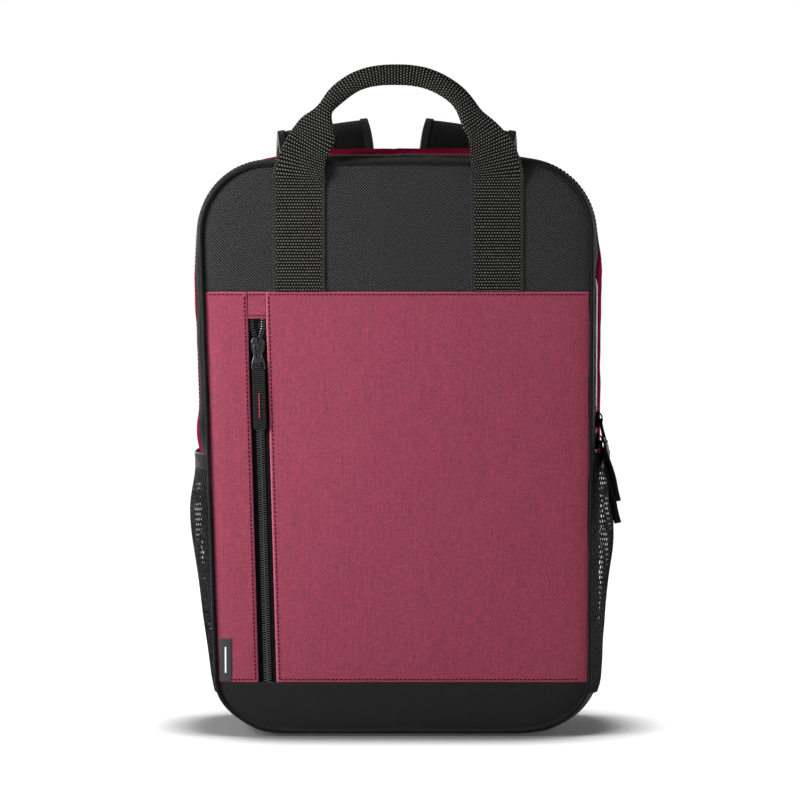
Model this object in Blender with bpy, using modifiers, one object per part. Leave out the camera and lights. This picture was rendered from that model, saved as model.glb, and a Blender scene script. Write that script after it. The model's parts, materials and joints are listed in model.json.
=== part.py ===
"""Laptop travel backpack: a tall soft box with a zip-round front flap, a flat front pocket, two mesh side
pockets, a webbing carry handle and two padded shoulder straps.

Metres, +Z up. The front faces -Y, the back (which rests on the wearer) faces +Y, and the origin is the middle
of the flat base. Names ending in _left are on the -X side, as a person facing the front sees it.

The bag is two flat outlines, front and back, joined by a bulging side wall (the gusset). Everything on the
gusset is a band: a stretch of the outline swept through the depth at some offset from the gusset's surface.
"""

import math

import bmesh
import bpy
from mathutils import Matrix, Vector

# ---------------------------------------------------------------- driving dimensions
HALF_DEPTH = 0.060  # middle of the bag to the front or back seam
TOP_HALF_WIDTH = 0.1413  # centre to seam above the side pockets
BASE_HALF_LEFT = 0.1310  # the bag leans in towards its base, more on the left
BASE_HALF_RIGHT = 0.1400
SEAM_TOP = 0.4160  # height of the front seam in the middle of the top edge
TOP_CROWN = 0.0010  # how much the top edge rises between its corners
SEAM_BASE = 0.0040  # height of the front seam along the floor
TOP_CORNER = (0.048, 0.050)  # corner radii across and up
BASE_CORNER = (0.055, 0.037)
CORNER_STEPS = 9
TOP_STEPS = 6

GUSSET_BULGE = 0.010  # how far the gusset stands out of its seams at mid-depth
LEFT_DIP = 0.007  # it is flatter than that behind the left side pocket
DIP_HEIGHTS = (0.055, 0.100, 0.190, 0.250)  # the dip starts, is full, starts to end, has ended
BULGE_POWER = 2.2
GUSSET_JOINT_Z = 0.333  # where the side gussets meet the one over the top
GUSSET_THICK = 0.0015

HINGE_Z = 0.207  # the front flap folds here, level with the lower ends of the main zip
FLAP_HINGE_Y = -0.064  # the fold line lies just in front of the fabric
FOLD_GAP = 0.001  # half of the gap between the flap and what stays
PART_GAP = 0.0003  # between pieces that are sewn together or touch

FACE_Y = -0.0605  # outer face of the front fabrics
SKIN_THICK = 0.0022  # front fabric with its lining
BACKING_Y = (-0.0545, -0.0515)  # padded wall behind the front pocket
BASE_BAND_TOP = 0.0395
POCKET_TOP = 0.3235  # seam between the burgundy pocket and the black top panel

ZIP_Y = -0.042  # the main zip's middle line on the gusset
ZIP_SLOT_HALF = 0.0045
TAPE_DROP = 0.0022  # the tape's outer face lies this far under the fabric's outer face
TAPE_THICK = 0.0006
TAPE_HALF = 0.0085
CHAIN_GAP_HALF = 0.0009  # half of the gap between the two rows of coil
COIL_HALF = 0.0029
COIL_HEIGHT = 0.0016

POCKET_ZIP_TOP_X = -0.1010  # middle of the front pocket's zip, at its top end
POCKET_ZIP_LEAN = 0.0273  # how far it shifts right per metre on the way down
POCKET_ZIP_TOP = 0.3040
POCKET_ZIP_HALF = 0.0068  # half of the slot in the burgundy fabric
POCKET_SLIDER_Z = 0.2850

SLIDER_LENGTH = 0.0120
SLIDER_HALF = 0.0042
LOWER_SLIDER_Z = 0.2140
UPPER_SLIDER_Z = 0.2300
LOWER_PULL_LEAN = 15.0  # degrees away from the gusset
UPPER_PULL_LEAN = 13.0

WEBBING_THICK = 0.0016
HANDLE_WEBBING = 0.0388  # width of the handle's webbing
HANDLE_LEG_X = 0.0712
HANDLE_HINGE_Z = 0.4045  # the webbing leaves the front here, just below the piping
HANDLE_HINGE_Y = -0.0616

STRAP_HINGE = (0.0667, 0.4145)  # y, z of the line about which the shoulder straps swing
STRAP_PAD_THICK = 0.009
LOCK_HINGE = (0.0785, 0.0955, 0.1545)  # top bar of the right ladder lock
LAPTOP_STRAP_HINGE = (0.054, 0.336)  # y, z of the seam from which the laptop strap lifts

MESH_TOP = 0.206
MESH_GAP = {"left": 0.0066, "right": 0.0058}  # how far the mesh stands off the gusset at its mouth
MESH_BELLY_GAP = {"left": 0.0130, "right": 0.0080}  # and at its fullest, in the belly
MESH_BELLY_Z = {"left": 0.163, "right": 0.142}
MESH_BELLY_SPREAD = {"left": 0.024, "right": 0.034}
MESH_FOOT = 0.032
MESH_THICK = 0.0008
BINDING_HEIGHT = 0.012


# ---------------------------------------------------------------- scene, materials
def clear_scene():
    for obj in list(bpy.data.objects):
        bpy.data.objects.remove(obj, do_unlink=True)


def make_material(name, colour, roughness, metallic=0.0):
    material = bpy.data.materials.new(name)
    material.use_nodes = True
    shader = material.node_tree.nodes["Principled BSDF"]
    shader.inputs["Base Color"].default_value = (*colour, 1.0)
    shader.inputs["Roughness"].default_value = roughness
    shader.inputs["Metallic"].default_value = metallic
    return material


clear_scene()
PARTS = bpy.data.collections.new("travel_backpack")
CUTTERS = bpy.data.collections.new("cutters")
for collection in (PARTS, CUTTERS):
    bpy.context.scene.collection.children.link(collection)

BURGUNDY = make_material("burgundy_heather", (0.30, 0.035, 0.085), 0.85)
BLACK = make_material("black_polyester", (0.022, 0.022, 0.024), 0.85)
WEBBING = make_material("black_webbing", (0.020, 0.020, 0.017), 0.80)
MESH = make_material("black_mesh", (0.018, 0.020, 0.020), 0.80)
AIR_MESH = make_material("air_mesh", (0.030, 0.030, 0.033), 0.95)
LINING = make_material("grey_lining", (0.090, 0.090, 0.095), 0.80)
TAPE = make_material("zip_tape", (0.018, 0.020, 0.020), 0.80)
COIL = make_material("zip_coil", (0.020, 0.020, 0.022), 0.35)
METAL = make_material("gunmetal", (0.10, 0.10, 0.11), 0.35, 1.0)
PLASTIC = make_material("black_plastic", (0.020, 0.020, 0.022), 0.45)
LABEL = make_material("woven_label", (0.060, 0.062, 0.064), 0.75)


def add(obj, material, collection=PARTS):
    collection.objects.link(obj)
    if material is not None:
        obj.data.materials.clear()
        obj.data.materials.append(material)
    return obj


def mesh_object(name, mesh, material, collection=PARTS):
    return add(bpy.data.objects.new(name, mesh), material, collection)


# ---------------------------------------------------------------- the outline, x and z
def side_x(z, side):
    """The seam's x on the straight stretch of one side; side is -1 for left, 1 for right."""
    base = BASE_HALF_LEFT if side < 0 else BASE_HALF_RIGHT
    low, high = SEAM_BASE + BASE_CORNER[1], SEAM_TOP - TOP_CROWN - TOP_CORNER[1]
    share = (z - low) / (high - low)
    return side * (base + (TOP_HALF_WIDTH - base) * min(1.0, max(0.0, share)))


def corner(side, top):
    """A quarter ellipse from the side wall to the top or the base."""
    rx, rz = TOP_CORNER if top else BASE_CORNER
    cz = SEAM_TOP - TOP_CROWN - rz if top else SEAM_BASE + rz
    cx = side_x(cz, side) - side * rx
    points = []
    for i in range(CORNER_STEPS + 1):
        turn = math.pi / 2 * i / CORNER_STEPS
        up = math.sin(turn) if top else -math.sin(turn)
        points.append((cx + side * rx * math.cos(turn), cz + rz * up))
    return points


def top_edge():
    """The crowned edge between the top corners, left to right, without its ends."""
    left, right = corner(-1, True)[-1][0], corner(1, True)[-1][0]
    points = []
    for i in range(1, TOP_STEPS):
        share = i / TOP_STEPS
        rise = TOP_CROWN * (1 - (2 * share - 1) ** 2)
        points.append((left + (right - left) * share, SEAM_TOP - TOP_CROWN + rise))
    return points


def side_run(side, low, high):
    """The straight side from low to high, with a point wherever the bulge changes its growth."""
    stops = [low] + [z for z in DIP_HEIGHTS if low + 0.001 < z < high - 0.001] + [high]
    return [(side_x(z, side), z) for z in stops]


def side_ends(top):
    return SEAM_TOP - TOP_CROWN - TOP_CORNER[1] if top else SEAM_BASE + BASE_CORNER[1]


def over_the_top(low_left, low_right):
    """From the left side at one height, over the top, down to the right side at another."""
    left = side_run(-1, low_left, side_ends(True))[:-1]
    right = side_run(1, low_right, side_ends(True))[:-1]
    arch = corner(-1, True) + top_edge() + corner(1, True)[::-1]
    return left + arch + right[::-1]


def under_the_base(high_left, high_right):
    """From the left side at one height, down round the base, up to the right side at another."""
    left = side_run(-1, side_ends(False), high_left)[1:][::-1]
    right = side_run(1, side_ends(False), high_right)[1:]
    return left + corner(-1, False) + corner(1, False)[::-1] + right


def whole_outline():
    """The closed seam line, anticlockwise seen from the back."""
    low, high = side_ends(False), side_ends(True)
    right = side_run(1, low, high)[1:-1]
    left = side_run(-1, low, high)[1:-1]
    loop = corner(-1, True) + top_edge() + corner(1, True)[::-1] + right[::-1]
    return loop + corner(1, False) + corner(-1, False)[::-1] + left


def normals_of(points, closed=False):
    """Outward unit normals of a run of outline points."""
    centre = Vector((0.0, SEAM_TOP / 2))
    found = []
    last = len(points) - 1
    for i, point in enumerate(points):
        before = points[i - 1] if i or closed else points[i]
        after = points[(i + 1) % len(points)] if i < last or closed else points[i]
        along = (Vector(after) - Vector(before)).normalized()
        out = Vector((-along.y, along.x))
        if out.dot(Vector(point) - centre) < 0:
            out = -out
        found.append(out)
    return found


def inset_outline(inset):
    loop = whole_outline()
    return [tuple(Vector(p) - n * inset) for p, n in zip(loop, normals_of(loop, closed=True))]


def clip(loop, normal, distance):
    """The part of a closed loop where normal . point is at most distance."""
    normal = Vector(normal)
    kept = []
    for i, end in enumerate(loop):
        a, b = Vector(loop[i - 1]), Vector(end)
        da, db = normal.dot(a) - distance, normal.dot(b) - distance
        if (da <= 0) != (db <= 0):
            kept.append(tuple(a + (b - a) * (da / (da - db))))
        if db <= 0:
            kept.append(tuple(b))
    return kept


def between(loop, low, high):
    """The part of a closed loop between two heights."""
    return clip(clip(loop, (0, -1), -low), (0, 1), high)


# ---------------------------------------------------------------- builders
def gusset_bulge(x, y, z):
    """How far the gusset stands out of the seam line at this place."""
    start, full, fade, end = DIP_HEIGHTS
    dip = min(1.0, max(0.0, (z - start) / (full - start)), max(0.0, (end - z) / (end - fade)))
    reach = GUSSET_BULGE - (LEFT_DIP * dip if x < 0 else 0.0)
    return reach * (1 - min(1.0, abs(y) / HALF_DEPTH) ** BULGE_POWER)


def band(name, run, depths, thick, material, lift=None):
    """A stretch of the outline swept through the given depths and thickened inwards.

    lift(y, z) is how far its outer face stands out of the gusset's outer face.
    """
    out = normals_of(run)
    mesh = bpy.data.meshes.new(name)
    shape = bmesh.new()
    rows = []
    for (x, z), normal in zip(run, out):
        row = []
        for y in depths:
            reach = gusset_bulge(x, y, z) + (lift(y, z) if lift else 0.0)
            row.append(shape.verts.new((x + normal.x * reach, y, max(0.0, z + normal.y * reach))))
        rows.append(row)
    for first, second in zip(rows, rows[1:]):
        for j in range(len(depths) - 1):
            shape.faces.new((first[j], first[j + 1], second[j + 1], second[j]))
    bmesh.ops.recalc_face_normals(shape, faces=shape.faces)
    middle = rows[len(rows) // 2][0].link_faces[0]
    middle.normal_update()
    if middle.normal.dot(Vector((out[len(rows) // 2].x, 0, out[len(rows) // 2].y))) < 0:
        bmesh.ops.reverse_faces(shape, faces=shape.faces)
    shape.to_mesh(mesh)
    shape.free()
    obj = mesh_object(name, mesh, material)
    shell = obj.modifiers.new("thickness", "SOLIDIFY")
    shell.thickness = thick
    shell.offset = -1.0
    shell.use_even_offset = True
    return obj


def plate(name, loops, thick, material, collection=PARTS):
    """Closed loops in the object's own x and y, the first the outside and the rest holes, as a plate."""
    curve = bpy.data.curves.new(name, "CURVE")
    curve.dimensions = "2D"
    curve.fill_mode = "BOTH"
    curve.extrude = thick / 2
    for loop in loops:
        spline = curve.splines.new("POLY")
        spline.points.add(len(loop) - 1)
        for point, (x, y) in zip(spline.points, loop):
            point.co = (x, y, 0.0, 1.0)
        spline.use_cyclic_u = True
    return add(bpy.data.objects.new(name, curve), material, collection)


def panel(name, loop, near, far, material):
    """A flat panel with an outline in x and z, between two depths."""
    obj = plate(name, [loop], far - near, material)
    obj.rotation_euler = (math.pi / 2, 0.0, 0.0)
    obj.location = (0.0, (near + far) / 2, 0.0)
    return obj


def box_loop(low_x, high_x, low_z, high_z):
    return [(low_x, low_z), (high_x, low_z), (high_x, high_z), (low_x, high_z)]


def tube(name, points, radius, material, closed=False):
    curve = bpy.data.curves.new(name, "CURVE")
    curve.dimensions = "3D"
    curve.bevel_depth = radius
    curve.bevel_resolution = 1
    curve.use_fill_caps = not closed
    spline = curve.splines.new("POLY")
    spline.points.add(len(points) - 1)
    for point, place in zip(spline.points, points):
        point.co = (*place, 1.0)
    spline.use_cyclic_u = closed
    return add(bpy.data.objects.new(name, curve), material)


def loft(name, sections, material):
    """A soft strap through sections of (centre, width axis, width, thickness axis, thickness)."""
    mesh = bpy.data.meshes.new(name)
    shape = bmesh.new()
    edge = 0.42  # share of the thickness at which the rounded edge starts
    ring_of = [(-1, -edge), (-1, edge), (-0.94, 1), (0.94, 1), (1, edge), (1, -edge), (0.94, -1), (-0.94, -1)]
    rings = []
    for centre, wide, width, thin, thick in sections:
        ring = []
        for across, through in ring_of:
            sideways = Vector(wide) * (across * width / 2)
            ring.append(shape.verts.new(Vector(centre) + sideways + Vector(thin) * (through * thick / 2)))
        rings.append(ring)
    count = len(ring_of)
    for first, second in zip(rings, rings[1:]):
        for j in range(count):
            shape.faces.new((first[j], first[(j + 1) % count], second[(j + 1) % count], second[j]))
    shape.faces.new(rings[0][::-1])
    shape.faces.new(rings[-1])
    bmesh.ops.recalc_face_normals(shape, faces=shape.faces)
    shape.to_mesh(mesh)
    shape.free()
    return mesh_object(name, mesh, material)


def strap_sections(stations, lean):
    """Sections of a strap lying across X whose path runs in Y and Z.

    stations holds (x, y, z, width, thickness, roll); roll tips the strap's width axis, outer edge down, and
    lean is 1 for the right strap and -1 for the left.
    """
    places = [Vector((lean * x, y, z)) for x, y, z, *_ in stations]
    sections = []
    for i, (_, _, _, width, thick, roll) in enumerate(stations):
        along = places[min(i + 1, len(places) - 1)] - places[max(i - 1, 0)]
        wide = Vector((math.cos(math.radians(roll)), 0.0, -lean * math.sin(math.radians(roll))))
        wide = (wide - along * (wide.dot(along) / along.length_squared)).normalized()
        sections.append((places[i], wide, width, along.normalized().cross(wide), thick))
    return sections


# ---------------------------------------------------------------- body: base, back, gusset
GUSSET_DEPTHS = [ZIP_Y + ZIP_SLOT_HALF, -0.020, 0.0, 0.020, 0.040, 0.052, 0.060]
BASE_DEPTHS = [-0.060, -0.055, -0.045, -0.020, 0.020, 0.045, 0.055, 0.060]
FRONT_STRIP_DEPTHS = [-0.0600, -0.0535, ZIP_Y - ZIP_SLOT_HALF]


def make_shell():
    seam_low = side_ends(False)
    band("base_panel", under_the_base(seam_low, seam_low), BASE_DEPTHS, GUSSET_THICK, BLACK)
    for side, name in ((-1, "left"), (1, "right")):
        run = side_run(side, seam_low + FOLD_GAP, GUSSET_JOINT_Z - FOLD_GAP)
        band(f"side_gusset_{name}", run, GUSSET_DEPTHS, GUSSET_THICK, BURGUNDY)
        run = side_run(side, seam_low + FOLD_GAP, HINGE_Z - FOLD_GAP)
        band(f"front_gusset_lower_{name}", run, [-0.0600, -0.0535, -0.0378], GUSSET_THICK, BLACK)
    band("top_gusset", over_the_top(GUSSET_JOINT_Z, GUSSET_JOINT_Z), GUSSET_DEPTHS, GUSSET_THICK, BURGUNDY)
    foot = between(inset_outline(0.002), 0.0, BASE_BAND_TOP)
    panel("base_front_band", foot, FACE_Y, FACE_Y + SKIN_THICK, BLACK)
    lower = between(inset_outline(0.002), BASE_BAND_TOP + PART_GAP, HINGE_Z - FOLD_GAP)
    panel("front_lower_backing", lower, *BACKING_Y, LINING)
    panel("back_panel", inset_outline(0.002), 0.0555, 0.0600, BLACK)
    for side, name in ((-1, "left"), (1, "right")):
        pad = plate(f"back_pad_{name}", [box_loop(-0.040, 0.040, 0.070, 0.370)], 0.010, AIR_MESH)
        pad.rotation_euler = (math.pi / 2, 0.0, 0.0)
        pad.location = (side * 0.052, 0.0658, 0.0)


def make_piping():
    lift = 0.0004

    def seam_points(run, y):
        return [(x + n.x * lift, y, z + n.y * lift) for (x, z), n in zip(run, normals_of(run))]

    front_y, back_y = -0.0619, 0.0619
    above = over_the_top(HINGE_Z + FOLD_GAP, HINGE_Z + FOLD_GAP)
    below = under_the_base(HINGE_Z - FOLD_GAP, HINGE_Z - FOLD_GAP)
    tube("piping_front_upper", seam_points(above, front_y), 0.0016, BLACK)
    tube("piping_front_lower", seam_points(below, front_y), 0.0016, BLACK)
    loop = whole_outline()
    outwards = normals_of(loop, closed=True)
    ring = [(x + n.x * lift, back_y, z + n.y * lift) for (x, z), n in zip(loop, outwards)]
    tube("piping_back", ring, 0.0016, BLACK, closed=True)


# ---------------------------------------------------------------- front flap and pocket
def pocket_zip_x(z):
    return POCKET_ZIP_TOP_X + (POCKET_ZIP_TOP - z) * POCKET_ZIP_LEAN


def beside_zip(loop, side):
    """The part of a loop on one side of the pocket zip's slot."""
    normal = Vector((1.0, POCKET_ZIP_LEAN)) * -side
    edge = Vector((pocket_zip_x(0.0) + side * POCKET_ZIP_HALF, 0.0))
    return clip(loop, normal, normal.dot(edge))


def make_front():
    inner = inset_outline(0.002)
    outer_face = (FACE_Y, FACE_Y + SKIN_THICK)
    flap_low = HINGE_Z + FOLD_GAP
    band("front_gusset_upper", over_the_top(flap_low, flap_low), FRONT_STRIP_DEPTHS, GUSSET_THICK, BLACK)
    panel("front_upper_backing", between(inner, flap_low, 1.0), *BACKING_Y, LINING)
    panel("front_upper_panel", between(inner, POCKET_TOP + PART_GAP, 1.0), *outer_face, BLACK)
    lower = between(inner, BASE_BAND_TOP + PART_GAP, HINGE_Z - FOLD_GAP)
    upper = between(inner, flap_low, POCKET_TOP)
    for half, name in ((lower, "lower"), (upper, "upper")):
        panel(f"pocket_strip_{name}", beside_zip(half, -1), *outer_face, BURGUNDY)
        panel(f"pocket_panel_{name}", beside_zip(half, 1), *outer_face, BURGUNDY)
    cap_half = POCKET_ZIP_HALF - PART_GAP
    low, high = pocket_zip_x(POCKET_TOP), pocket_zip_x(POCKET_ZIP_TOP)
    cap = [
        (high - cap_half, POCKET_ZIP_TOP),
        (high + cap_half, POCKET_ZIP_TOP),
        (low + cap_half, POCKET_TOP),
        (low - cap_half, POCKET_TOP),
    ]
    panel("pocket_zip_cap", cap, *outer_face, BURGUNDY)
    label = box_loop(-0.1285, -0.1200, 0.0405, 0.0715)
    panel("side_label", label, FACE_Y - 0.0009, FACE_Y - PART_GAP, LABEL)


def zip_half_loop(side):
    """Cross-section of one side of the pocket zip, tape and coil: x across, y inwards from the tape."""
    near, far, coil = CHAIN_GAP_HALF * side, TAPE_HALF * side, COIL_HALF * side
    coil_corners = [(near, -COIL_HEIGHT), (coil, -COIL_HEIGHT), (coil, 0.0)]
    return coil_corners + [(far, 0.0), (far, TAPE_THICK), (near, TAPE_THICK)]


TAPE_Y = FACE_Y + SKIN_THICK + PART_GAP  # outer face of the pocket zip's tape


def make_pocket_zip():
    spans = {
        "lower": (BASE_BAND_TOP + PART_GAP, HINGE_Z - FOLD_GAP),
        "upper": (HINGE_Z + FOLD_GAP, POCKET_ZIP_TOP - PART_GAP),
    }
    for span, (low, high) in spans.items():
        for side, name in ((-1, "left"), (1, "right")):
            middle = (low + high) / 2
            half = plate(f"pocket_zip_{name}_{span}", [zip_half_loop(side)], high - low, COIL)
            half.location = (pocket_zip_x(middle), TAPE_Y, middle)
            half.rotation_euler = (0.0, -math.atan(POCKET_ZIP_LEAN), 0.0)


# ---------------------------------------------------------------- main zip
def make_main_zip():
    """Two tapes, each with its row of coil, under the edges of the slot in the gusset."""
    low = HINGE_Z + FOLD_GAP
    slider_clear = UPPER_SLIDER_Z + SLIDER_LENGTH / 2 + 0.005
    runs = {"front": over_the_top(low, slider_clear), "rear": over_the_top(low, low)}
    for name, run in runs.items():
        side = -1 if name == "front" else 1
        near, coil_far, far = (ZIP_Y + side * reach for reach in (CHAIN_GAP_HALF, COIL_HALF, TAPE_HALF))
        tape_depths, coil_depths = sorted((near, far)), sorted((near, coil_far))
        band(f"main_zip_tape_{name}", run, tape_depths, TAPE_THICK, TAPE, lambda y, z: -TAPE_DROP)
        coil_face = COIL_HEIGHT + 0.0002 - TAPE_DROP
        band(f"main_zip_coil_{name}", run, coil_depths, COIL_HEIGHT - 0.0002, COIL, lambda y, z: coil_face)


# ---------------------------------------------------------------- sliders and pulls
# Built in their own frame: x across the zip, -y out of the bag, z along the zip, the tape's face at y = 0.
TOP_PLATE = (-0.0032, -0.0023)
LOW_PLATE = (0.0011, 0.0019)
PULL_AXIS_Y = -0.0046
BRIDGE_TOP_Y = -0.0061
BRIDGE_RADIUS = 0.0006
PULL_LENGTH = 0.018
TAB_LENGTH = 0.043


def slider_mesh():
    """Two plates joined by the wedge that parts the teeth, and the bridge that holds the pull."""
    half, post = SLIDER_HALF, 0.00028
    high, low = TOP_PLATE[1] + 0.0001, LOW_PLATE[0] - 0.0001
    outline = [
        (-half, TOP_PLATE[0]), (half, TOP_PLATE[0]), (half, TOP_PLATE[1]), (post, high),
        (post, low), (half, LOW_PLATE[0]), (half, LOW_PLATE[1]), (-half, LOW_PLATE[1]),
        (-half, LOW_PLATE[0]), (-post, low), (-post, high), (-half, TOP_PLATE[1]),
    ]  # fmt: skip
    body = as_mesh(plate("slider_body", [outline], SLIDER_LENGTH, None, CUTTERS))
    foot_y, reach = (TOP_PLATE[0] + TOP_PLATE[1]) / 2, 0.0042
    arch = [(0, foot_y, -reach), (0, -0.0050, -reach), (0, BRIDGE_TOP_Y, -0.0028)]
    arch += [(x, y, -z) for x, y, z in arch[::-1]]
    bridge = as_mesh(tube("slider_bridge", arch, BRIDGE_RADIUS, None))
    join = body.modifiers.new("bridge", "BOOLEAN")
    join.operation = "UNION"
    join.object = bridge
    joined = bpy.data.meshes.new_from_object(body.evaluated_get(bpy.context.evaluated_depsgraph_get()))
    for obj in (body, bridge):
        bpy.data.objects.remove(obj, do_unlink=True)
    return joined


def as_mesh(obj):
    """The same shape as a mesh object with its caps welded; the curve is removed."""
    bpy.context.view_layer.update()
    mesh = bpy.data.meshes.new_from_object(obj.evaluated_get(bpy.context.evaluated_depsgraph_get()))
    shape = bmesh.new()
    shape.from_mesh(mesh)
    bmesh.ops.remove_doubles(shape, verts=shape.verts, dist=0.000001)
    bmesh.ops.recalc_face_normals(shape, faces=shape.faces)
    shape.to_mesh(mesh)
    shape.free()
    new = bpy.data.objects.new(obj.name + "_mesh", mesh)
    new.matrix_world = obj.matrix_world
    CUTTERS.objects.link(new)
    new.hide_render = True
    new.display_type = "WIRE"
    bpy.data.objects.remove(obj, do_unlink=True)
    bpy.context.view_layer.update()
    return new


def pull_loops():
    """Outline, bridge hole and tab slot of the metal pull, hanging down from its bar at the origin."""
    outer = [
        (-0.0024, 0.0006), (0.0024, 0.0006), (0.0031, -0.0002), (0.0031, -0.0085),
        (0.0045, -0.0120), (0.0052, -PULL_LENGTH), (-0.0052, -PULL_LENGTH),
        (-0.0045, -0.0120), (-0.0031, -0.0085), (-0.0031, -0.0002),
    ]  # fmt: skip
    bridge_hole = box_loop(-0.0016, 0.0016, -0.0078, -0.0007)
    tab_slot = box_loop(-0.0037, 0.0037, -0.0164, -0.0135)
    return [outer, bridge_hole, tab_slot]


def place_on_zip(obj, origin, out, along, turn=0.0):
    """Puts an object built in the zip's frame at a point on the tape; turn swings it about the pull's bar."""
    across = (-out).cross(along)
    frame = Matrix((across, -out, along)).transposed().to_4x4()
    frame.translation = origin
    bar = Matrix.Translation((0.0, PULL_AXIS_Y, 0.0))
    obj.matrix_world = frame @ bar @ Matrix.Rotation(math.radians(-turn), 4, "X")


def make_slider_set(prefix, shape, origin, out, along, lean):
    slider = mesh_object(f"{prefix}_slider", shape, METAL)
    place_on_zip(slider, origin, out, along)
    slider.matrix_world = slider.matrix_world @ Matrix.Translation((0.0, -PULL_AXIS_Y, 0.0))
    pull = plate(f"{prefix}_pull", pull_loops(), 0.0012, METAL)
    place_on_zip(pull, origin, out, along, lean)
    pull.matrix_world = pull.matrix_world @ Matrix.Rotation(math.pi / 2, 4, "X")
    tab_top = -PULL_LENGTH - PART_GAP
    strip = box_loop(-0.0045, 0.0045, tab_top - TAB_LENGTH, tab_top)
    tab = plate(f"{prefix}_pull_tab", [strip], 0.0020, WEBBING)
    place_on_zip(tab, origin, out, along, lean)
    tab.matrix_world = tab.matrix_world @ Matrix.Rotation(math.pi / 2, 4, "X")


def main_zip_frame(z):
    """A point on the right side's tape, the way out of the bag there, and the way along the zip."""

    def tape_point(y, height):
        x = side_x(height, 1)
        return Vector((x + gusset_bulge(x, y, height), y, height))

    step = 0.001
    along = (tape_point(ZIP_Y, z + step) - tape_point(ZIP_Y, z - step)).normalized()
    across = (tape_point(ZIP_Y + step, z) - tape_point(ZIP_Y - step, z)).normalized()
    out = across.cross(along).normalized()
    return tape_point(ZIP_Y, z) - out * TAPE_DROP, out, along


def make_sliders():
    shape = slider_mesh()
    down_zip = Vector((-POCKET_ZIP_LEAN, 0.0, 1.0)).normalized()
    origin = Vector((pocket_zip_x(POCKET_SLIDER_Z), TAPE_Y, POCKET_SLIDER_Z))
    make_slider_set("pocket", shape, origin, Vector((0.0, -1.0, 0.0)), down_zip, 0.0)
    make_slider_set("main_lower", shape, *main_zip_frame(LOWER_SLIDER_Z), LOWER_PULL_LEAN)
    make_slider_set("main_upper", shape, *main_zip_frame(UPPER_SLIDER_Z), UPPER_PULL_LEAN)


# ---------------------------------------------------------------- side pockets
def make_side_pocket(side, name):
    edge_y = 0.0585
    gap, belly = MESH_GAP[name], MESH_BELLY_GAP[name]

    def stand_off(y, z):
        """The mesh is sewn down at its front, back and foot, and bellies out below its mouth."""
        across = 1 - (y / edge_y) ** 2
        full = gap + (belly - gap) * math.exp(-(((z - MESH_BELLY_Z[name]) / MESH_BELLY_SPREAD[name]) ** 2))
        close = min(1.0, max(0.0, (z - MESH_FOOT) / 0.100)) ** 0.7
        return 0.0013 + full * across * close

    depths = [-edge_y, -0.045, -0.028, 0.0, 0.028, 0.045, edge_y]
    binding_low = MESH_TOP - BINDING_HEIGHT
    low_corner = [p for p in corner(side, False) if p[1] > MESH_FOOT][::-1]
    heights = [0.055, 0.080, 0.100, 0.120, 0.135, 0.150, 0.165, 0.180, binding_low - PART_GAP]
    run = low_corner + [(side_x(z, side), z) for z in heights]
    band(f"mesh_pocket_{name}", run, depths, MESH_THICK, MESH, stand_off)
    run = [(side_x(z, side), z) for z in (binding_low, MESH_TOP)]
    band(f"pocket_binding_{name}", run, depths, MESH_THICK, WEBBING, stand_off)


# ---------------------------------------------------------------- handle
def make_handle():
    leg_face = FACE_Y - PART_GAP
    low, high = POCKET_TOP + 0.0005, HANDLE_HINGE_Z - 0.0024
    for side, name in ((-1, "left"), (1, "right")):
        centre = side * HANDLE_LEG_X
        leg = box_loop(centre - HANDLE_WEBBING / 2, centre + HANDLE_WEBBING / 2, low, high)
        panel(f"handle_leg_{name}", leg, leg_face - WEBBING_THICK, leg_face, WEBBING)
    folded_width, folded_thick = 0.0142, 0.0075
    leg_y = leg_face - WEBBING_THICK / 2
    # x, y, z, width and thickness of half of the handle, from the leg to the middle of the grip
    half = [
        (HANDLE_LEG_X, leg_y, HANDLE_HINGE_Z, HANDLE_WEBBING, WEBBING_THICK),
        (HANDLE_LEG_X, -0.0648, 0.4075, HANDLE_WEBBING, WEBBING_THICK),
        (0.0703, -0.0658, 0.4110, 0.0384, WEBBING_THICK),
        (0.0688, -0.0660, 0.4165, 0.0360, 0.0018),
        (0.0655, -0.0656, 0.4255, 0.0320, 0.0022),
        (0.0600, -0.0650, 0.4365, 0.0320, 0.0028),
        (0.0563, -0.0648, 0.4445, 0.0260, 0.0040),
        (0.0540, -0.0646, 0.4500, 0.0165, 0.0060),
        (0.0508, -0.0644, 0.4565, 0.0112, folded_thick),
        (0.0456, -0.0642, 0.4632, 0.0132, folded_thick),
        (0.0388, -0.0640, 0.4692, folded_width, folded_thick),
        (0.0300, -0.0640, 0.4746, folded_width, folded_thick),
        (0.0200, -0.0640, 0.4782, folded_width, folded_thick),
        (0.0095, -0.0640, 0.4799, folded_width, folded_thick),
        (0.0000, -0.0640, 0.4802, folded_width, folded_thick),
    ]
    stations = [(-x, *rest) for x, *rest in half] + half[-2::-1]
    places = [Vector(station[:3]) for station in stations]
    sections = []
    for i, (*_, width, thick) in enumerate(stations):
        along = (places[min(i + 1, len(places) - 1)] - places[max(i - 1, 0)]).normalized()
        wide = Vector((along.z, 0.0, -along.x)).normalized()
        sections.append((places[i], wide, width, along.cross(wide), thick))
    loft("handle_grip", sections, WEBBING)


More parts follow.
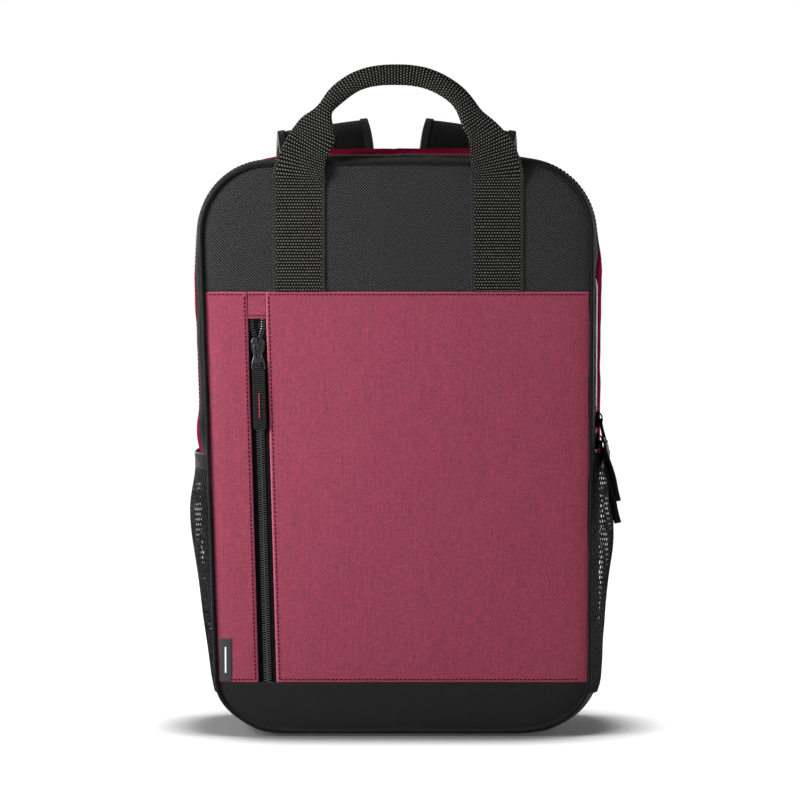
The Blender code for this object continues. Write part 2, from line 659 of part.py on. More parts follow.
# ---------------------------------------------------------------- shoulder straps
# x, y, z, width, thickness and roll in degrees, from the hinge over the crest and down behind the back
STRAP_STATIONS = [
    (0.0525, 0.0675, 0.4160, 0.0710, 0.0045, 0),
    (0.0530, 0.0695, 0.4285, 0.0710, 0.0060, 3),
    (0.0548, 0.0770, 0.4405, 0.0702, 0.0080, 7),
    (0.0565, 0.0900, 0.4465, 0.0695, STRAP_PAD_THICK, 9),
    (0.0570, 0.1030, 0.4410, 0.0695, STRAP_PAD_THICK, 8),
    (0.0575, 0.1100, 0.4290, 0.0695, STRAP_PAD_THICK, 6),
    (0.0590, 0.1130, 0.4040, 0.0690, STRAP_PAD_THICK, 3),
    (0.0620, 0.1120, 0.3600, 0.0660, STRAP_PAD_THICK, 3),
    (0.0670, 0.1080, 0.3000, 0.0620, STRAP_PAD_THICK, 3),
    (0.0720, 0.1040, 0.2400, 0.0580, STRAP_PAD_THICK, 3),
    (0.0760, 0.1000, 0.1900, 0.0530, 0.0085, 3),
    (0.0782, 0.0970, 0.1640, 0.0420, 0.0060, 2),
    (0.0784, 0.0962, 0.1586, 0.0250, 0.0032, 1),
]
# the same for the webbing from the ladder lock to the corner of the base
LOWER_WEBBING_STATIONS = [
    (0.0800, 0.0950, 0.1150, 0.0250, 0.0016, 0),
    (0.0870, 0.0940, 0.0960, 0.0250, 0.0016, 8),
    (0.0960, 0.0860, 0.0720, 0.0250, 0.0016, 16),
    (0.1040, 0.0755, 0.0550, 0.0250, 0.0016, 22),
    (0.1085, 0.0700, 0.0470, 0.0250, 0.0016, 26),
]


def make_straps():
    yoke = [(-0.098, 0.386), (0.098, 0.386), (0.090, 0.4065), (-0.090, 0.4065)]
    panel("strap_yoke", yoke, 0.0603, 0.0635, BLACK)
    for side, name in ((-1, "left"), (1, "right")):
        loft(f"shoulder_strap_{name}", strap_sections(STRAP_STATIONS, side), BLACK)
        loft(f"lower_webbing_{name}", strap_sections(LOWER_WEBBING_STATIONS, side), WEBBING)
        lock_outline = box_loop(-0.0165, 0.0165, -0.0350, 0.0025)
        slots = [box_loop(-0.0130, 0.0130, z, z + 0.0075) for z in (-0.0105, -0.0215, -0.0320)]
        lock = plate(f"ladder_lock_{name}", [lock_outline, *slots], 0.0040, PLASTIC)
        lock.rotation_euler = (math.pi / 2, 0.0, 0.0)
        lock.location = (side * LOCK_HINGE[0], LOCK_HINGE[1], LOCK_HINGE[2])
        tab = [(side * x, z) for x, z in ((0.100, 0.052), (0.127, 0.040), (0.119, 0.024), (0.104, 0.028))]
        panel(f"webbing_anchor_{name}", tab, 0.0604, 0.0634, BLACK)


# ---------------------------------------------------------------- inside
def make_inside():
    divider = between(inset_outline(0.0055), 0.012, 0.300)
    panel("laptop_divider", divider, 0.0300, 0.0340, LINING)
    board = [(-0.088, -0.050), (0.090, -0.050), (0.090, 0.052), (-0.088, 0.052)]
    base_board = plate("base_board", [board], 0.0020, PLASTIC)
    base_board.location = (0.0, 0.0, 0.0058)
    stations = [
        (0.0, *LAPTOP_STRAP_HINGE, 0.0380, 0.0018, 0),
        (0.0, 0.0440, 0.3290, 0.0380, 0.0018, 0),
        (0.0, 0.0340, 0.3110, 0.0380, 0.0018, 0),
        (0.0, 0.0272, 0.3010, 0.0380, 0.0018, 0),
        (0.0, 0.0272, 0.2620, 0.0380, 0.0018, 0),
    ]
    loft("laptop_strap", strap_sections(stations, 1), WEBBING)


# ---------------------------------------------------------------- joints
def hang(obj, carrier):
    """Parents an object to an empty without moving it; the empties are only shifted, never turned."""
    obj.parent = carrier
    obj.matrix_parent_inverse = Matrix.Translation(-Vector(carrier["place"]))


def pivot(name, place, moving, carrier=None):
    """An empty on a joint's axis that carries the pieces that move with that joint."""
    axis = bpy.data.objects.new(f"{name}_axis", None)
    PARTS.objects.link(axis)
    axis.empty_display_size = 0.02
    axis.location = place
    axis["place"] = list(place)
    if carrier:
        hang(axis, carrier)
    for node in moving:
        hang(bpy.data.objects[node], axis)
    return axis


def slider_pivots(prefix, origin, out, carrier):
    slider = pivot(f"{prefix}_slider", origin, [f"{prefix}_slider"], carrier)
    bar = origin - out * PULL_AXIS_Y
    pivot(f"{prefix}_pull", bar, [f"{prefix}_pull", f"{prefix}_pull_tab"], slider)
    return slider


def make_joints():
    on_flap = [
        "front_gusset_upper", "front_upper_backing", "front_upper_panel", "pocket_strip_upper",
        "pocket_panel_upper", "pocket_zip_cap", "piping_front_upper", "pocket_zip_left_upper",
        "pocket_zip_right_upper", "main_zip_tape_front", "main_zip_coil_front", "handle_leg_left",
        "handle_leg_right",
    ]  # fmt: skip
    flap = pivot("flap", (0.0, FLAP_HINGE_Y, HINGE_Z), on_flap)
    pivot("handle", (0.0, HANDLE_HINGE_Y, HANDLE_HINGE_Z), ["handle_grip"], flap)
    pocket_origin = Vector((pocket_zip_x(POCKET_SLIDER_Z), TAPE_Y, POCKET_SLIDER_Z))
    slider_pivots("pocket", pocket_origin, Vector((0.0, -1.0, 0.0)), flap)
    lower = slider_pivots("main_lower", *main_zip_frame(LOWER_SLIDER_Z)[:2], None)
    slider_pivots("main_upper", *main_zip_frame(UPPER_SLIDER_Z)[:2], lower)
    for side, name in ((-1, "left"), (1, "right")):
        top = (side * STRAP_STATIONS[0][0], *STRAP_HINGE)
        strap = pivot(f"strap_{name}", top, [f"shoulder_strap_{name}"])
        lock_x, *lock_yz = LOCK_HINGE
        pivot(f"lock_{name}", (side * lock_x, *lock_yz), [f"ladder_lock_{name}"], strap)
    pivot("laptop_strap", (0.0, *LAPTOP_STRAP_HINGE), ["laptop_strap"])


def main():
    make_shell()
    make_piping()
    make_front()
    make_pocket_zip()
    make_main_zip()
    make_sliders()
    make_side_pocket(-1, "left")
    make_side_pocket(1, "right")
    make_handle()
    make_straps()
    make_inside()
    make_joints()


main()
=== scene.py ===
"""Looks of the travel backpack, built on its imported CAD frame. Metres, +Z up, the front faces -Y."""

import json
import math

import bmesh
import bpy
import numpy as np
from mathutils import Matrix, Vector
from mathutils.kdtree import KDTree


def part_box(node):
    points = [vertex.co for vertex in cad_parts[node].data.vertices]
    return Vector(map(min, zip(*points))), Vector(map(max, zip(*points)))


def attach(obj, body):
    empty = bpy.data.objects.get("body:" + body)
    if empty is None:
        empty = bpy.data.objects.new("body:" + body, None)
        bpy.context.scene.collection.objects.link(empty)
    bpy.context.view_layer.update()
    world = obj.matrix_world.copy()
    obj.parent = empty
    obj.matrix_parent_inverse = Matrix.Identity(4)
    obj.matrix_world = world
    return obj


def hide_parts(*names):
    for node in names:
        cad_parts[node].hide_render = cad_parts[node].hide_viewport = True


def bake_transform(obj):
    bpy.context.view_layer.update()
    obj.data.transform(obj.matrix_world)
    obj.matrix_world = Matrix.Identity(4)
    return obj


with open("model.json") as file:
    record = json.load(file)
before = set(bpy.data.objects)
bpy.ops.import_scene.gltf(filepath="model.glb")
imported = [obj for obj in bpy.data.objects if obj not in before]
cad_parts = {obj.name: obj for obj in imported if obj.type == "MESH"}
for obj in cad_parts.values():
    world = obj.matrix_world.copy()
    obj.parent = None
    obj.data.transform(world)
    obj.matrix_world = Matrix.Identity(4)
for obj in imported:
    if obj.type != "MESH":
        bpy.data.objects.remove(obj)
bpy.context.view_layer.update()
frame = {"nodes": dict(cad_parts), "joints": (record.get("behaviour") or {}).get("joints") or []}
JOINTS = {j["name"]: j for j in frame["joints"]}

# ---------------------------------------------------------------- sizes, some of them shared with the CAD
HALF_DEPTH = 0.060
GUSSET_BULGE = 0.010
BULGE_POWER = 2.2
FLAT_POWER = 8.0
CORNER_SAG = 0.0046  # the side wall is drawn in at the top corners
LEFT_SAG = 0.0024  # and a little along its sides
TOP_RISE = 0.0030  # and pushed up in the middle of the top
WALL_EDGE = 0.0606
FACE_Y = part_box("front_upper_panel")[0].y
SEAM_BAND_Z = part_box("base_front_band")[1].z
SEAM_POCKET_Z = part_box("pocket_panel_upper")[1].z
HINGE_Z = JOINTS["flap_fold"]["pos_m"][2]
GUSSET_JOINT_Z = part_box("side_gusset_left")[1].z + 0.001
CORNER_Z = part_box("side_gusset_left")[0].z - 0.001
ZIP_Y = -0.042
ZIP_SLOT_HALF = 0.0045
TAPE_DROP = 0.0022
POCKET_ZIP_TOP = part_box("pocket_zip_cap")[0].z
POCKET_ZIP_TOP_X = -0.1010
POCKET_ZIP_LEAN = 0.0273
POCKET_ZIP_HALF = 0.0066
POCKET_SLIDER_Z = 0.2850
PULL_AXIS = 0.0046
PIPING_Y = 0.0616
PIPING_RADIUS = 0.0013
PAD_X, PAD_Z = 0.052, 0.220  # middle of each back pad
PAD_HALF_WIDTH, PAD_HALF_HEIGHT = 0.041, 0.151
ZIP_SPREAD = 0.0030  # how far each half of the open zip stands back
HANDLE_WEBBING = 0.0384
MESH_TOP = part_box("pocket_binding_left")[1].z
MESH_FOOT = 0.032
MESH_EDGE_Y = 0.0597
BINDING_HEIGHT = 0.012
NET_CELL = (0.0043, 0.0037)  # half a diamond, across the pocket and up it
NET_STRAND = (0.00037, 0.00028)
# height, and how far the middle of the left and of the right net stands out of the seam line there
NET_HEIGHTS, NET_LEFT, NET_RIGHT = zip(
    (0.0320, 0.0046, 0.0104), (0.0445, 0.0057, 0.0112), (0.0640, 0.0087, 0.0122), (0.0830, 0.0107, 0.0132),
    (0.0970, 0.0116, 0.0141), (0.1150, 0.0136, 0.0160), (0.1340, 0.0162, 0.0190), (0.1500, 0.0176, 0.0193),
    (0.1630, 0.0178, 0.0186), (0.1760, 0.0152, 0.0172), (0.1900, 0.0121, 0.0163), (0.2050, 0.0118, 0.0160),
    (0.2200, 0.0124, 0.0160),
)  # fmt: skip
STITCH_INSET = 0.0022  # from a folded edge to its row of stitches
COIL_PITCH = 0.0017
TOOTH_MIDDLE = 0.00125  # from the zip's middle to the middle of a tooth
TOOTH_SIZE = (0.00056, 0.00062, 0.0032)  # along the zip, out of it and across it
FRONTWARDS = np.array([0.0, -1.0, 0.0])
BACKWARDS = np.array([0.0, 1.0, 0.0])
RIGHTWARDS = np.array([1.0, 0.0, 0.0])
SIDES = ((-1, "left"), (1, "right"))
FOLD = ("pack", "flap", (0, -0.06, HINGE_Z - 0.007), (0, -0.06, HINGE_Z + 0.007))


def srgb(*levels):
    """A colour given as 0-255 screen levels, or a grey given as one, as the shader wants it."""
    c = np.broadcast_to(levels, 3) / 255
    return (*np.where(c <= 0.04045, c / 12.92, ((c + 0.055) / 1.055) ** 2.4), 1.0)


def smooth(t):
    """0 to 1 with a soft start and end."""
    t = np.clip(t, 0, 1)
    return t * t * (3 - 2 * t)


def ripple(u, v, size, seed):
    """Smooth random heights between -1 and 1 whose humps are about size apart, the same ones each time."""
    table = np.random.default_rng(seed).uniform(-1, 1, (97, 89))
    a, b = np.asarray(u) / size + 31, np.asarray(v) / size + 17
    i, j = np.floor(a).astype(int), np.floor(b).astype(int)
    s, t = smooth(a - i), smooth(b - j)
    corner = [[table[(i + p) % 97, (j + q) % 89] for q in (0, 1)] for p in (0, 1)]
    low = corner[0][0] * (1 - t) + corner[0][1] * t
    high = corner[1][0] * (1 - t) + corner[1][1] * t
    return low * (1 - s) + high * s


def unit(v):
    return v / np.maximum(np.linalg.norm(v, axis=-1, keepdims=True), 1e-12)


def joined(*parts):
    """Coordinates of any shapes that fit together, as the points or directions that they make."""
    return np.stack(np.broadcast_arrays(*parts), -1)


def run_along(path):
    """How far along a path each of its points is."""
    return np.concatenate([[0], np.cumsum(np.linalg.norm(np.diff(path, axis=0), axis=1))])


def sample(at, run, values):
    """The columns of values, known at run, read at other distances."""
    return np.stack([np.interp(at, run, column) for column in np.transpose(values)], -1)


def square_to(along, v):
    """The part of v that is square to along, one long."""
    return unit(v - (v * along).sum(-1, keepdims=True) * along)


def bell(reach, spread):
    """Weights that smooth over reach samples either way."""
    weights = np.exp(-0.5 * (np.arange(-reach, reach + 1) / spread) ** 2)
    return weights / weights.sum()


def smoothed(values, weights):
    """The columns of values smoothed, shorter by the weights' reach at both ends."""
    return np.stack([np.convolve(column, weights, "valid") for column in np.transpose(values)], -1)


# ---------------------------------------------------------------- camera, light, floor
TARGET = Vector((0.0025, FACE_Y, 0.245))
CAMERA_DISTANCE = 2.6
CAMERA_ELEVATION = math.radians(2.5)
WORLD_OVERHEAD = 0.25
LAMPS = (
    ("key", (-0.76, -0.52, 0.52), 0.40, 26.0),
    ("kicker", (-0.45, -0.42, 0.36), 0.20, 1.1),
    ("fill", (1.30, -1.30, 0.60), 0.80, 5.0),
    ("rear_right", (1.15, 1.00, 0.34), 0.60, 18.0),
    ("rear_left", (-0.75, 1.30, 0.34), 0.60, 20.0),
)


def make_stage():
    scene = bpy.context.scene
    scene.view_settings.view_transform = "Standard"
    camera = bpy.data.cameras.new("camera")
    camera.lens, camera.sensor_width = 161.4, 36
    camera.clip_start, camera.clip_end = 0.05, 60
    viewer = bpy.data.objects.new("camera", camera)
    away = Vector((0, -math.cos(CAMERA_ELEVATION), math.sin(CAMERA_ELEVATION)))
    viewer.location = TARGET + away * CAMERA_DISTANCE
    viewer.rotation_euler = (-away).to_track_quat("-Z", "Y").to_euler()
    scene.collection.objects.link(viewer)
    scene.camera = viewer

    # a white band round the horizon, dim overhead
    world = bpy.data.worlds.new("studio")
    world.use_nodes = True
    tree = world.node_tree
    apart = tree.nodes.new("ShaderNodeSeparateXYZ")
    tree.links.new(tree.nodes.new("ShaderNodeTexCoord").outputs["Generated"], apart.inputs[0])
    level = tree.nodes.new("ShaderNodeMapRange")
    ramp = {"From Min": 0.18, "From Max": 0.42, "To Min": 1.0, "To Max": WORLD_OVERHEAD}
    for socket, value in ramp.items():
        level.inputs[socket].default_value = value
    tree.links.new(apart.outputs["Z"], level.inputs["Value"])
    tree.links.new(level.outputs[0], tree.nodes["Background"].inputs["Color"])
    scene.world = world

    for name, place, size, power in LAMPS:
        lamp = bpy.data.lights.new(name, "AREA")
        lamp.size, lamp.energy = size, power
        holder = bpy.data.objects.new(name, lamp)
        holder.location = place
        holder.rotation_euler = (Vector((0, 0, 0.22)) - Vector(place)).to_track_quat("-Z", "Y").to_euler()
        scene.collection.objects.link(holder)

    floor_mesh = bpy.data.meshes.new("floor")
    shape = bmesh.new()
    bmesh.ops.create_grid(shape, x_segments=1, y_segments=1, size=14.0)
    shape.to_mesh(floor_mesh)
    shape.free()
    floor = bpy.data.objects.new("floor", floor_mesh)
    look = Look("pale_floor", {"Roughness": 0.9, "Specular IOR Level": 0.1, "Emission Strength": 1.0})
    spots = look.noise(look.place(), 3.0, 2.0)
    look.colour(look.mix(spots, (0.07, 0.07, 0.07, 1), (0.08, 0.08, 0.08, 1)))
    # the floor glows evenly white, darkened by ambient occlusion near the bag: a painted contact shadow
    near = look.put("AmbientOcclusion", {"Distance": 0.085}, "AO", samples=16, only_local=False)
    floor_glow_with_painted_shadow = look.mix(look.spread(near, 0.58, 0.90), (0.05, 0.05, 0.05, 1), (1.0, 1.0, 1.0, 1))
    look.tree.links.new(floor_glow_with_painted_shadow, look.shader.inputs["Emission Color"])
    floor_mesh.materials.append(look.material)
    scene.collection.objects.link(floor)


# ---------------------------------------------------------------- materials
class Look:
    """A material being built. Each call adds a node and gives back the output that is used."""

    def __init__(self, name, shader):
        self.material = bpy.data.materials.new(name)
        self.material.use_nodes = True
        self.tree = self.material.node_tree
        self.shader = self.tree.nodes["Principled BSDF"]
        for socket, value in shader.items():
            self.shader.inputs[socket].default_value = value

    def put(self, kind, inputs, output=0, **settings):
        node = self.tree.nodes.new("ShaderNode" + kind)
        for key, value in settings.items():
            setattr(node, key, value)
        for key, value in inputs.items():
            if isinstance(value, bpy.types.NodeSocket):
                self.tree.links.new(value, node.inputs[key])
            else:
                node.inputs[key].default_value = value
        return node.outputs[output]

    def math(self, operation, *values):
        return self.put("Math", dict(enumerate(values)), operation=operation)

    def cloth(self):
        """Place on the cloth in metres: across and along its threads."""
        return self.put("UVMap", {}, uv_map="cloth")

    def place(self):
        return self.put("TexCoord", {}, "Object")

    def scaled(self, vector, *factors):
        return self.put("VectorMath", {0: vector, 1: factors}, operation="MULTIPLY")

    def split(self, vector):
        parts = self.put("SeparateXYZ", {0: vector}).node.outputs
        return parts[0], parts[1], parts[2]

    def noise(self, vector, scale, detail=2.0, roughness=0.5):
        inputs = {"Vector": vector, "Scale": scale, "Detail": detail, "Roughness": roughness}
        return self.put("TexNoise", inputs, "Fac")

    def spread(self, value, low, high, to_low=0.0, to_high=1.0):
        inputs = {"Value": value, "From Min": low, "From Max": high, "To Min": to_low, "To Max": to_high}
        return self.put("MapRange", inputs, clamp=True)

    def wave(self, value, pitch):
        """0 to 1 and back once for each pitch."""
        turn = self.math("MULTIPLY", value, math.tau / pitch)
        return self.math("MULTIPLY_ADD", self.math("SINE", turn), 0.5, 0.5)

    def mix(self, factor, first, second):
        return self.put("MixRGB", {"Fac": factor, "Color1": first, "Color2": second})

    def from_cell_middle(self, u, v, across, along, dot=(1.0, 1.0)):
        """Squared distance from the middle of a staggered cell, in sizes of its dot."""
        row = self.math("DIVIDE", v, along)
        odd = self.math("MULTIPLY", self.math("FLOORED_MODULO", self.math("FLOOR", row), 2.0), 0.5)
        column = self.math("ADD", self.math("DIVIDE", u, across), odd)
        squares = []
        for place, size in zip((column, row), dot):
            off = self.math("DIVIDE", self.math("SUBTRACT", self.math("FRACT", place), 0.5), size)
            squares.append(self.math("MULTIPLY", off, off))
        return self.math("ADD", *squares)

    def colour(self, socket):
        self.tree.links.new(socket, self.shader.inputs["Base Color"])

    def rough(self, value, low, high):
        self.tree.links.new(self.spread(value, 0.0, 1.0, low, high), self.shader.inputs["Roughness"])

    def bump(self, height, distance, strength=1.0):
        normal = self.put("Bump", {"Height": height, "Distance": distance, "Strength": strength})
        self.tree.links.new(normal, self.shader.inputs["Normal"])

    def attribute(self, name):
        return self.put("Attribute", {}, "Fac", attribute_name=name)


def soft_shader(roughness, specular, sheen):
    return {
        "Roughness": roughness, "Specular IOR Level": specular, "Sheen Weight": sheen,
        "Sheen Roughness": 0.5, "Sheen Tint": (1, 1, 1, 1),
    }  # fmt: skip


def heather(name, dark, light, edge, across=False, specular=0.40):
    """Two-tone melange cloth: fine slubs along one set of threads, a plain weave under them."""
    look = Look(name, soft_shader(0.70, specular, 0.0))
    cloth = look.cloth()

    def threads(width, length, detail):
        factors = (1 / length, 1 / width, 1) if across else (1 / width, 1 / length, 1)
        return look.noise(look.scaled(cloth, *factors), 1.0, detail, 0.6)

    fine, slubs = threads(0.0007, 0.0022, 2.0), threads(0.0009, 0.0090, 2.0)
    streaks, cross = threads(0.0016, 0.0450, 3.0), threads(0.0080, 0.0008, 2.0)
    tone = look.math("MULTIPLY", fine, 0.48)
    for part, share in ((slubs, 0.24), (streaks, 0.16), (cross, 0.24)):
        tone = look.math("MULTIPLY_ADD", part, share, tone)
    tone = look.spread(tone, 0.41, 0.71)
    # near a folded edge the cloth takes the edge shade: a painted highlight along the fold
    highlighted = look.mix(look.attribute("fold_highlight"), look.mix(tone, dark, light), edge)
    look.colour(highlighted)
    look.rough(fine, 0.66, 0.86)
    look.bump(look.math("ADD", fine, look.math("MULTIPLY", cross, 0.8)), 0.00022, 0.8)
    return look.material


def twill(name, dark, light, pitch, contrast=1.0, by_place=False, specular=0.25):
    """Black twill: slanting ribs, broken up thread by thread."""
    look = Look(name, soft_shader(0.72, specular, 0.03))
    if by_place:
        x, y, z = look.split(look.place())
        u, v = look.math("ADD", x, y), z
        vector = look.place()
    else:
        vector = look.cloth()
        u, v, _ = look.split(vector)
    rib = look.wave(look.math("ADD", u, v), pitch * math.sqrt(2))
    thread = look.wave(look.math("SUBTRACT", u, v), pitch * 0.8)
    speckle = look.noise(vector, 780.0, 1.0, 0.5)
    fine = look.noise(vector, 2100.0, 1.0, 0.6)
    tone = look.math("MULTIPLY", rib, look.math("MULTIPLY_ADD", thread, 0.75, 0.40))
    tone = look.math("MULTIPLY_ADD", look.math("SUBTRACT", speckle, 0.5), contrast, tone)
    tone = look.math("MULTIPLY_ADD", look.math("SUBTRACT", fine, 0.5), 0.5 * contrast, tone)
    look.colour(look.mix(look.spread(tone, 0.05, 0.85), dark, light))
    look.rough(fine, 0.62, 0.85)
    look.bump(tone, 0.00022, 0.7)
    return look.material


def webbing(name, dark, light, across, along, dot=(0.36, 0.30), edge_from=0.0162):
    """Coarse webbing: raised floats in staggered rows, with finer bars along its edges."""
    look = Look(name, soft_shader(0.66, 0.05, 0.0))
    cloth = look.cloth()
    u, v, _ = look.split(cloth)
    float_top = look.spread(look.from_cell_middle(u, v, across, along, dot), 1.15, 0.45)
    bars = look.spread(look.wave(v, along / 2), 0.35, 0.9)
    at_edge = look.spread(look.math("ABSOLUTE", u), edge_from, edge_from + 0.0006)
    inner = look.math("MULTIPLY", float_top, look.math("SUBTRACT", 1.0, at_edge))
    outer = look.math("MULTIPLY", look.math("MULTIPLY", bars, 0.55), at_edge)
    raised = look.math("ADD", inner, outer)
    speckle = look.noise(cloth, 900.0, 3.0, 0.7)
    tone = look.math("MULTIPLY", raised, look.spread(speckle, 0.25, 0.7, 0.35, 1.15))
    look.colour(look.mix(tone, dark, light))
    look.rough(speckle, 0.5, 0.8)
    look.bump(look.math("MULTIPLY_ADD", speckle, 0.4, raised), 0.0003, 0.9)
    return look.material


def plain_weave(name, dark, light, pitch, by_place=False, specular=0.25, roughness=0.75):
    """Plain cloth or thread: one thread over, one under, with a fine speckle."""
    look = Look(name, soft_shader(roughness, specular, 0.02))
    vector = look.place() if by_place else look.cloth()
    u, v, w = look.split(vector)
    if by_place:
        u = look.math("ADD", u, w)
    weave = look.math("MULTIPLY", look.wave(u, pitch), look.wave(w if by_place else v, pitch))
    speckle = look.noise(vector, 1100.0, 3.0, 0.7)
    tone = look.math("MULTIPLY_ADD", speckle, 0.7, look.math("MULTIPLY", weave, 0.5))
    look.colour(look.mix(look.spread(tone, 0.3, 0.95), dark, light))
    look.rough(speckle, roughness - 0.1, roughness + 0.12)
    look.bump(tone, 0.00018, 0.7)
    return look.material


def spacer_mesh(name, dark, light, pitch):
    """Air mesh: a lattice of small dark wells in a soft knit."""
    look = Look(name, soft_shader(0.85, 0.15, 0.05))
    vector = look.place()
    x, y, z = look.split(vector)
    wells = look.from_cell_middle(look.math("ADD", x, y), z, pitch, pitch * 0.87)
    knit = look.spread(wells, 0.05, 0.14)
    fuzz = look.noise(vector, 1400.0, 2.0, 0.7)
    tone = look.math("MULTIPLY", knit, look.spread(fuzz, 0.2, 0.8, 0.5, 1.1))
    look.colour(look.mix(tone, dark, light))
    look.bump(look.math("MULTIPLY_ADD", fuzz, 0.2, knit), 0.0008, 0.9)
    return look.material


def moulded(name, dark, light, roughness, metallic=0.0, grain=2500.0, coat=0.0, specular=0.5):
    """Moulded plastic or plated metal with fine grain and small uneven patches."""
    shader = {"Roughness": roughness, "Metallic": metallic, "Specular IOR Level": specular}
    look = Look(name, {**shader, "Coat Weight": coat, "Coat Roughness": 0.14})
    vector = look.place()
    fine, patches = look.noise(vector, grain, 2.0, 0.6), look.noise(vector, 260.0, 3.0, 0.6)
    look.colour(look.mix(look.spread(patches, 0.3, 0.75), dark, light))
    look.rough(look.math("MULTIPLY_ADD", fine, 0.4, look.math("MULTIPLY", patches, 0.6)),
               roughness - 0.1, roughness + 0.12)
    look.bump(fine, 0.00004, 0.5)
    return look.material


# the third shade is a painted highlight along the front's folded edges
BURGUNDY_SHADES = srgb(56, 0, 14), srgb(114, 19, 50), srgb(144, 66, 92)
BURGUNDY = heather("burgundy_heather", *BURGUNDY_SHADES)
BURGUNDY_WALL = heather("burgundy_heather_wall", *BURGUNDY_SHADES, specular=0.0)
WALL_THREAD = plain_weave("wall_thread", srgb(58, 6, 20), srgb(84, 18, 36), 0.0006, True, specular=0.0)
CAP = heather("burgundy_heather_cap", *BURGUNDY_SHADES, across=True)
THREAD = plain_weave("burgundy_thread", srgb(40, 1, 11), srgb(60, 4, 20), 0.0006, True, specular=0.03)
BLACK_TWILL = twill("black_twill", srgb(0), srgb(46, 46, 47), 0.0016, 1.0, specular=0.06)
BLACK_SMOOTH = twill("black_twill_fine", srgb(12), srgb(27, 27, 28), 0.0010, 0.5, specular=0.04)
# black cloth painted darker than the front's black: painted shade on the side faces and inside the side
# pockets
SHADED_BLACK_STRIP = twill("black_strip_painted_shade", srgb(2), srgb(13), 0.0010, 0.5, specular=0.02)
BLACK_STRAP = twill("black_twill_strap", srgb(0), srgb(11), 0.0013, 0.7, by_place=True, specular=0.02)
PIPING = twill("black_binding", srgb(1), srgb(20, 20, 21), 0.0010, 0.7, specular=0.05)
BLACK_THREAD = plain_weave("black_thread", srgb(2), srgb(14), 0.0006, by_place=True, specular=0.04)
WEBBING = webbing("black_webbing", srgb(0), srgb(76, 76, 69), 0.0020, 0.0022, dot=(0.34, 0.28))
NARROW_WEBBING = webbing("narrow_webbing", srgb(1), srgb(46, 46, 44), 0.0018, 0.0020, edge_from=0.011)
TAB_WEBBING = webbing("tab_webbing", srgb(1), srgb(36), 0.0050, 0.0013, (0.62, 0.34), 0.0040)
ELASTIC = webbing("elastic_binding", srgb(1), srgb(16, 16, 17), 0.0016, 0.0020, edge_from=0.09)
TAPE = plain_weave("zip_tape", srgb(2), srgb(14, 14, 15), 0.0009, specular=0.04)
NET = plain_weave("pocket_net", srgb(0), srgb(16), 0.0007, by_place=True, specular=0.04)
AIR_MESH = spacer_mesh("air_mesh", srgb(3), srgb(36, 36, 38), 0.0042)
LINING = plain_weave("grey_lining", srgb(50, 50, 53), srgb(88, 88, 92), 0.0010)
COIL = moulded("zip_teeth", srgb(4, 4, 5), srgb(26, 26, 28), 0.20, coat=0.8)
MAIN_COIL = moulded("main_zip_teeth", srgb(10, 10, 11), srgb(38, 38, 40), 0.42, coat=0.1)
METAL = moulded("gunmetal", srgb(3), srgb(12, 12, 13), 0.22, 0.2, grain=1800.0, coat=0.7, specular=0.1)
MAIN_METAL = moulded("gunmetal_matt", srgb(2), srgb(10, 10, 11), 0.42, grain=1800.0, specular=0.0)
PLASTIC = moulded("black_plastic", srgb(5, 5, 6), srgb(16, 16, 17), 0.42)
LABEL = plain_weave("woven_label", srgb(26, 27, 28), srgb(56, 58, 60), 0.0008, roughness=0.55, specular=0.1)
LABEL_STRIPE = plain_weave("woven_label_stripe", srgb(150), srgb(205), 0.0008, roughness=0.6)
THREAD_BRIGHT = plain_weave("tab_thread", srgb(105, 10, 38), srgb(150, 36, 66), 0.0006, by_place=True)


# ---------------------------------------------------------------- mesh builders
def make(name, points, faces, material, uv=None, fold_highlight=None):
    """A mesh object from points and arrays of faces, each array holding faces of one number of corners."""
    faces = [np.asarray(f, np.int32) for f in faces if len(f)]
    loops = np.concatenate([f.ravel() for f in faces])
    counts = np.concatenate([np.full(len(f), f.shape[1]) for f in faces])
    mesh = bpy.data.meshes.new(name)
    mesh.vertices.add(len(points))
    mesh.vertices.foreach_set("co", np.asarray(points, np.float32).ravel())
    mesh.loops.add(len(loops))
    mesh.loops.foreach_set("vertex_index", loops)
    mesh.polygons.add(len(counts))
    mesh.polygons.foreach_set("loop_start", np.concatenate([[0], np.cumsum(counts)[:-1]]).astype(np.int32))
    mesh.update(calc_edges=True)
    if uv is not None:
        layer = mesh.uv_layers.new(name="cloth")
        layer.data.foreach_set("uv", np.asarray(uv, np.float32)[loops].ravel())
    # the weight of a painted highlight along folded edges, kept per point
    if fold_highlight is not None:
        mesh.attributes.new("fold_highlight", "FLOAT", "POINT").data.foreach_set("value", np.asarray(fold_highlight, np.float32))
    mesh.shade_smooth()
    mesh.set_sharp_from_angle(angle=math.radians(50))
    mesh.materials.append(material)
    obj = bpy.data.objects.new(name, mesh)
    bpy.context.scene.collection.objects.link(obj)
    return obj


def settle(obj, body, slot, *stands_for):
    """Puts a finished piece on its body; where body is a blend's four values, only bakes its place in."""
    if isinstance(body, tuple):
        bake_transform(obj)
    else:
        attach(obj, body)
    if stands_for:
        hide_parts(*stands_for)
    return obj


def grid_faces(rows, cols, wrap=False):
    """Faces of a grid of points, or of one whose rows close into rings."""
    i = np.arange(rows - 1)[:, None] * cols
    j = np.arange(cols if wrap else cols - 1)[None, :]
    k = (j + 1) % cols
    return joined(i + j, i + k, i + cols + k, i + cols + j).reshape(-1, 4)


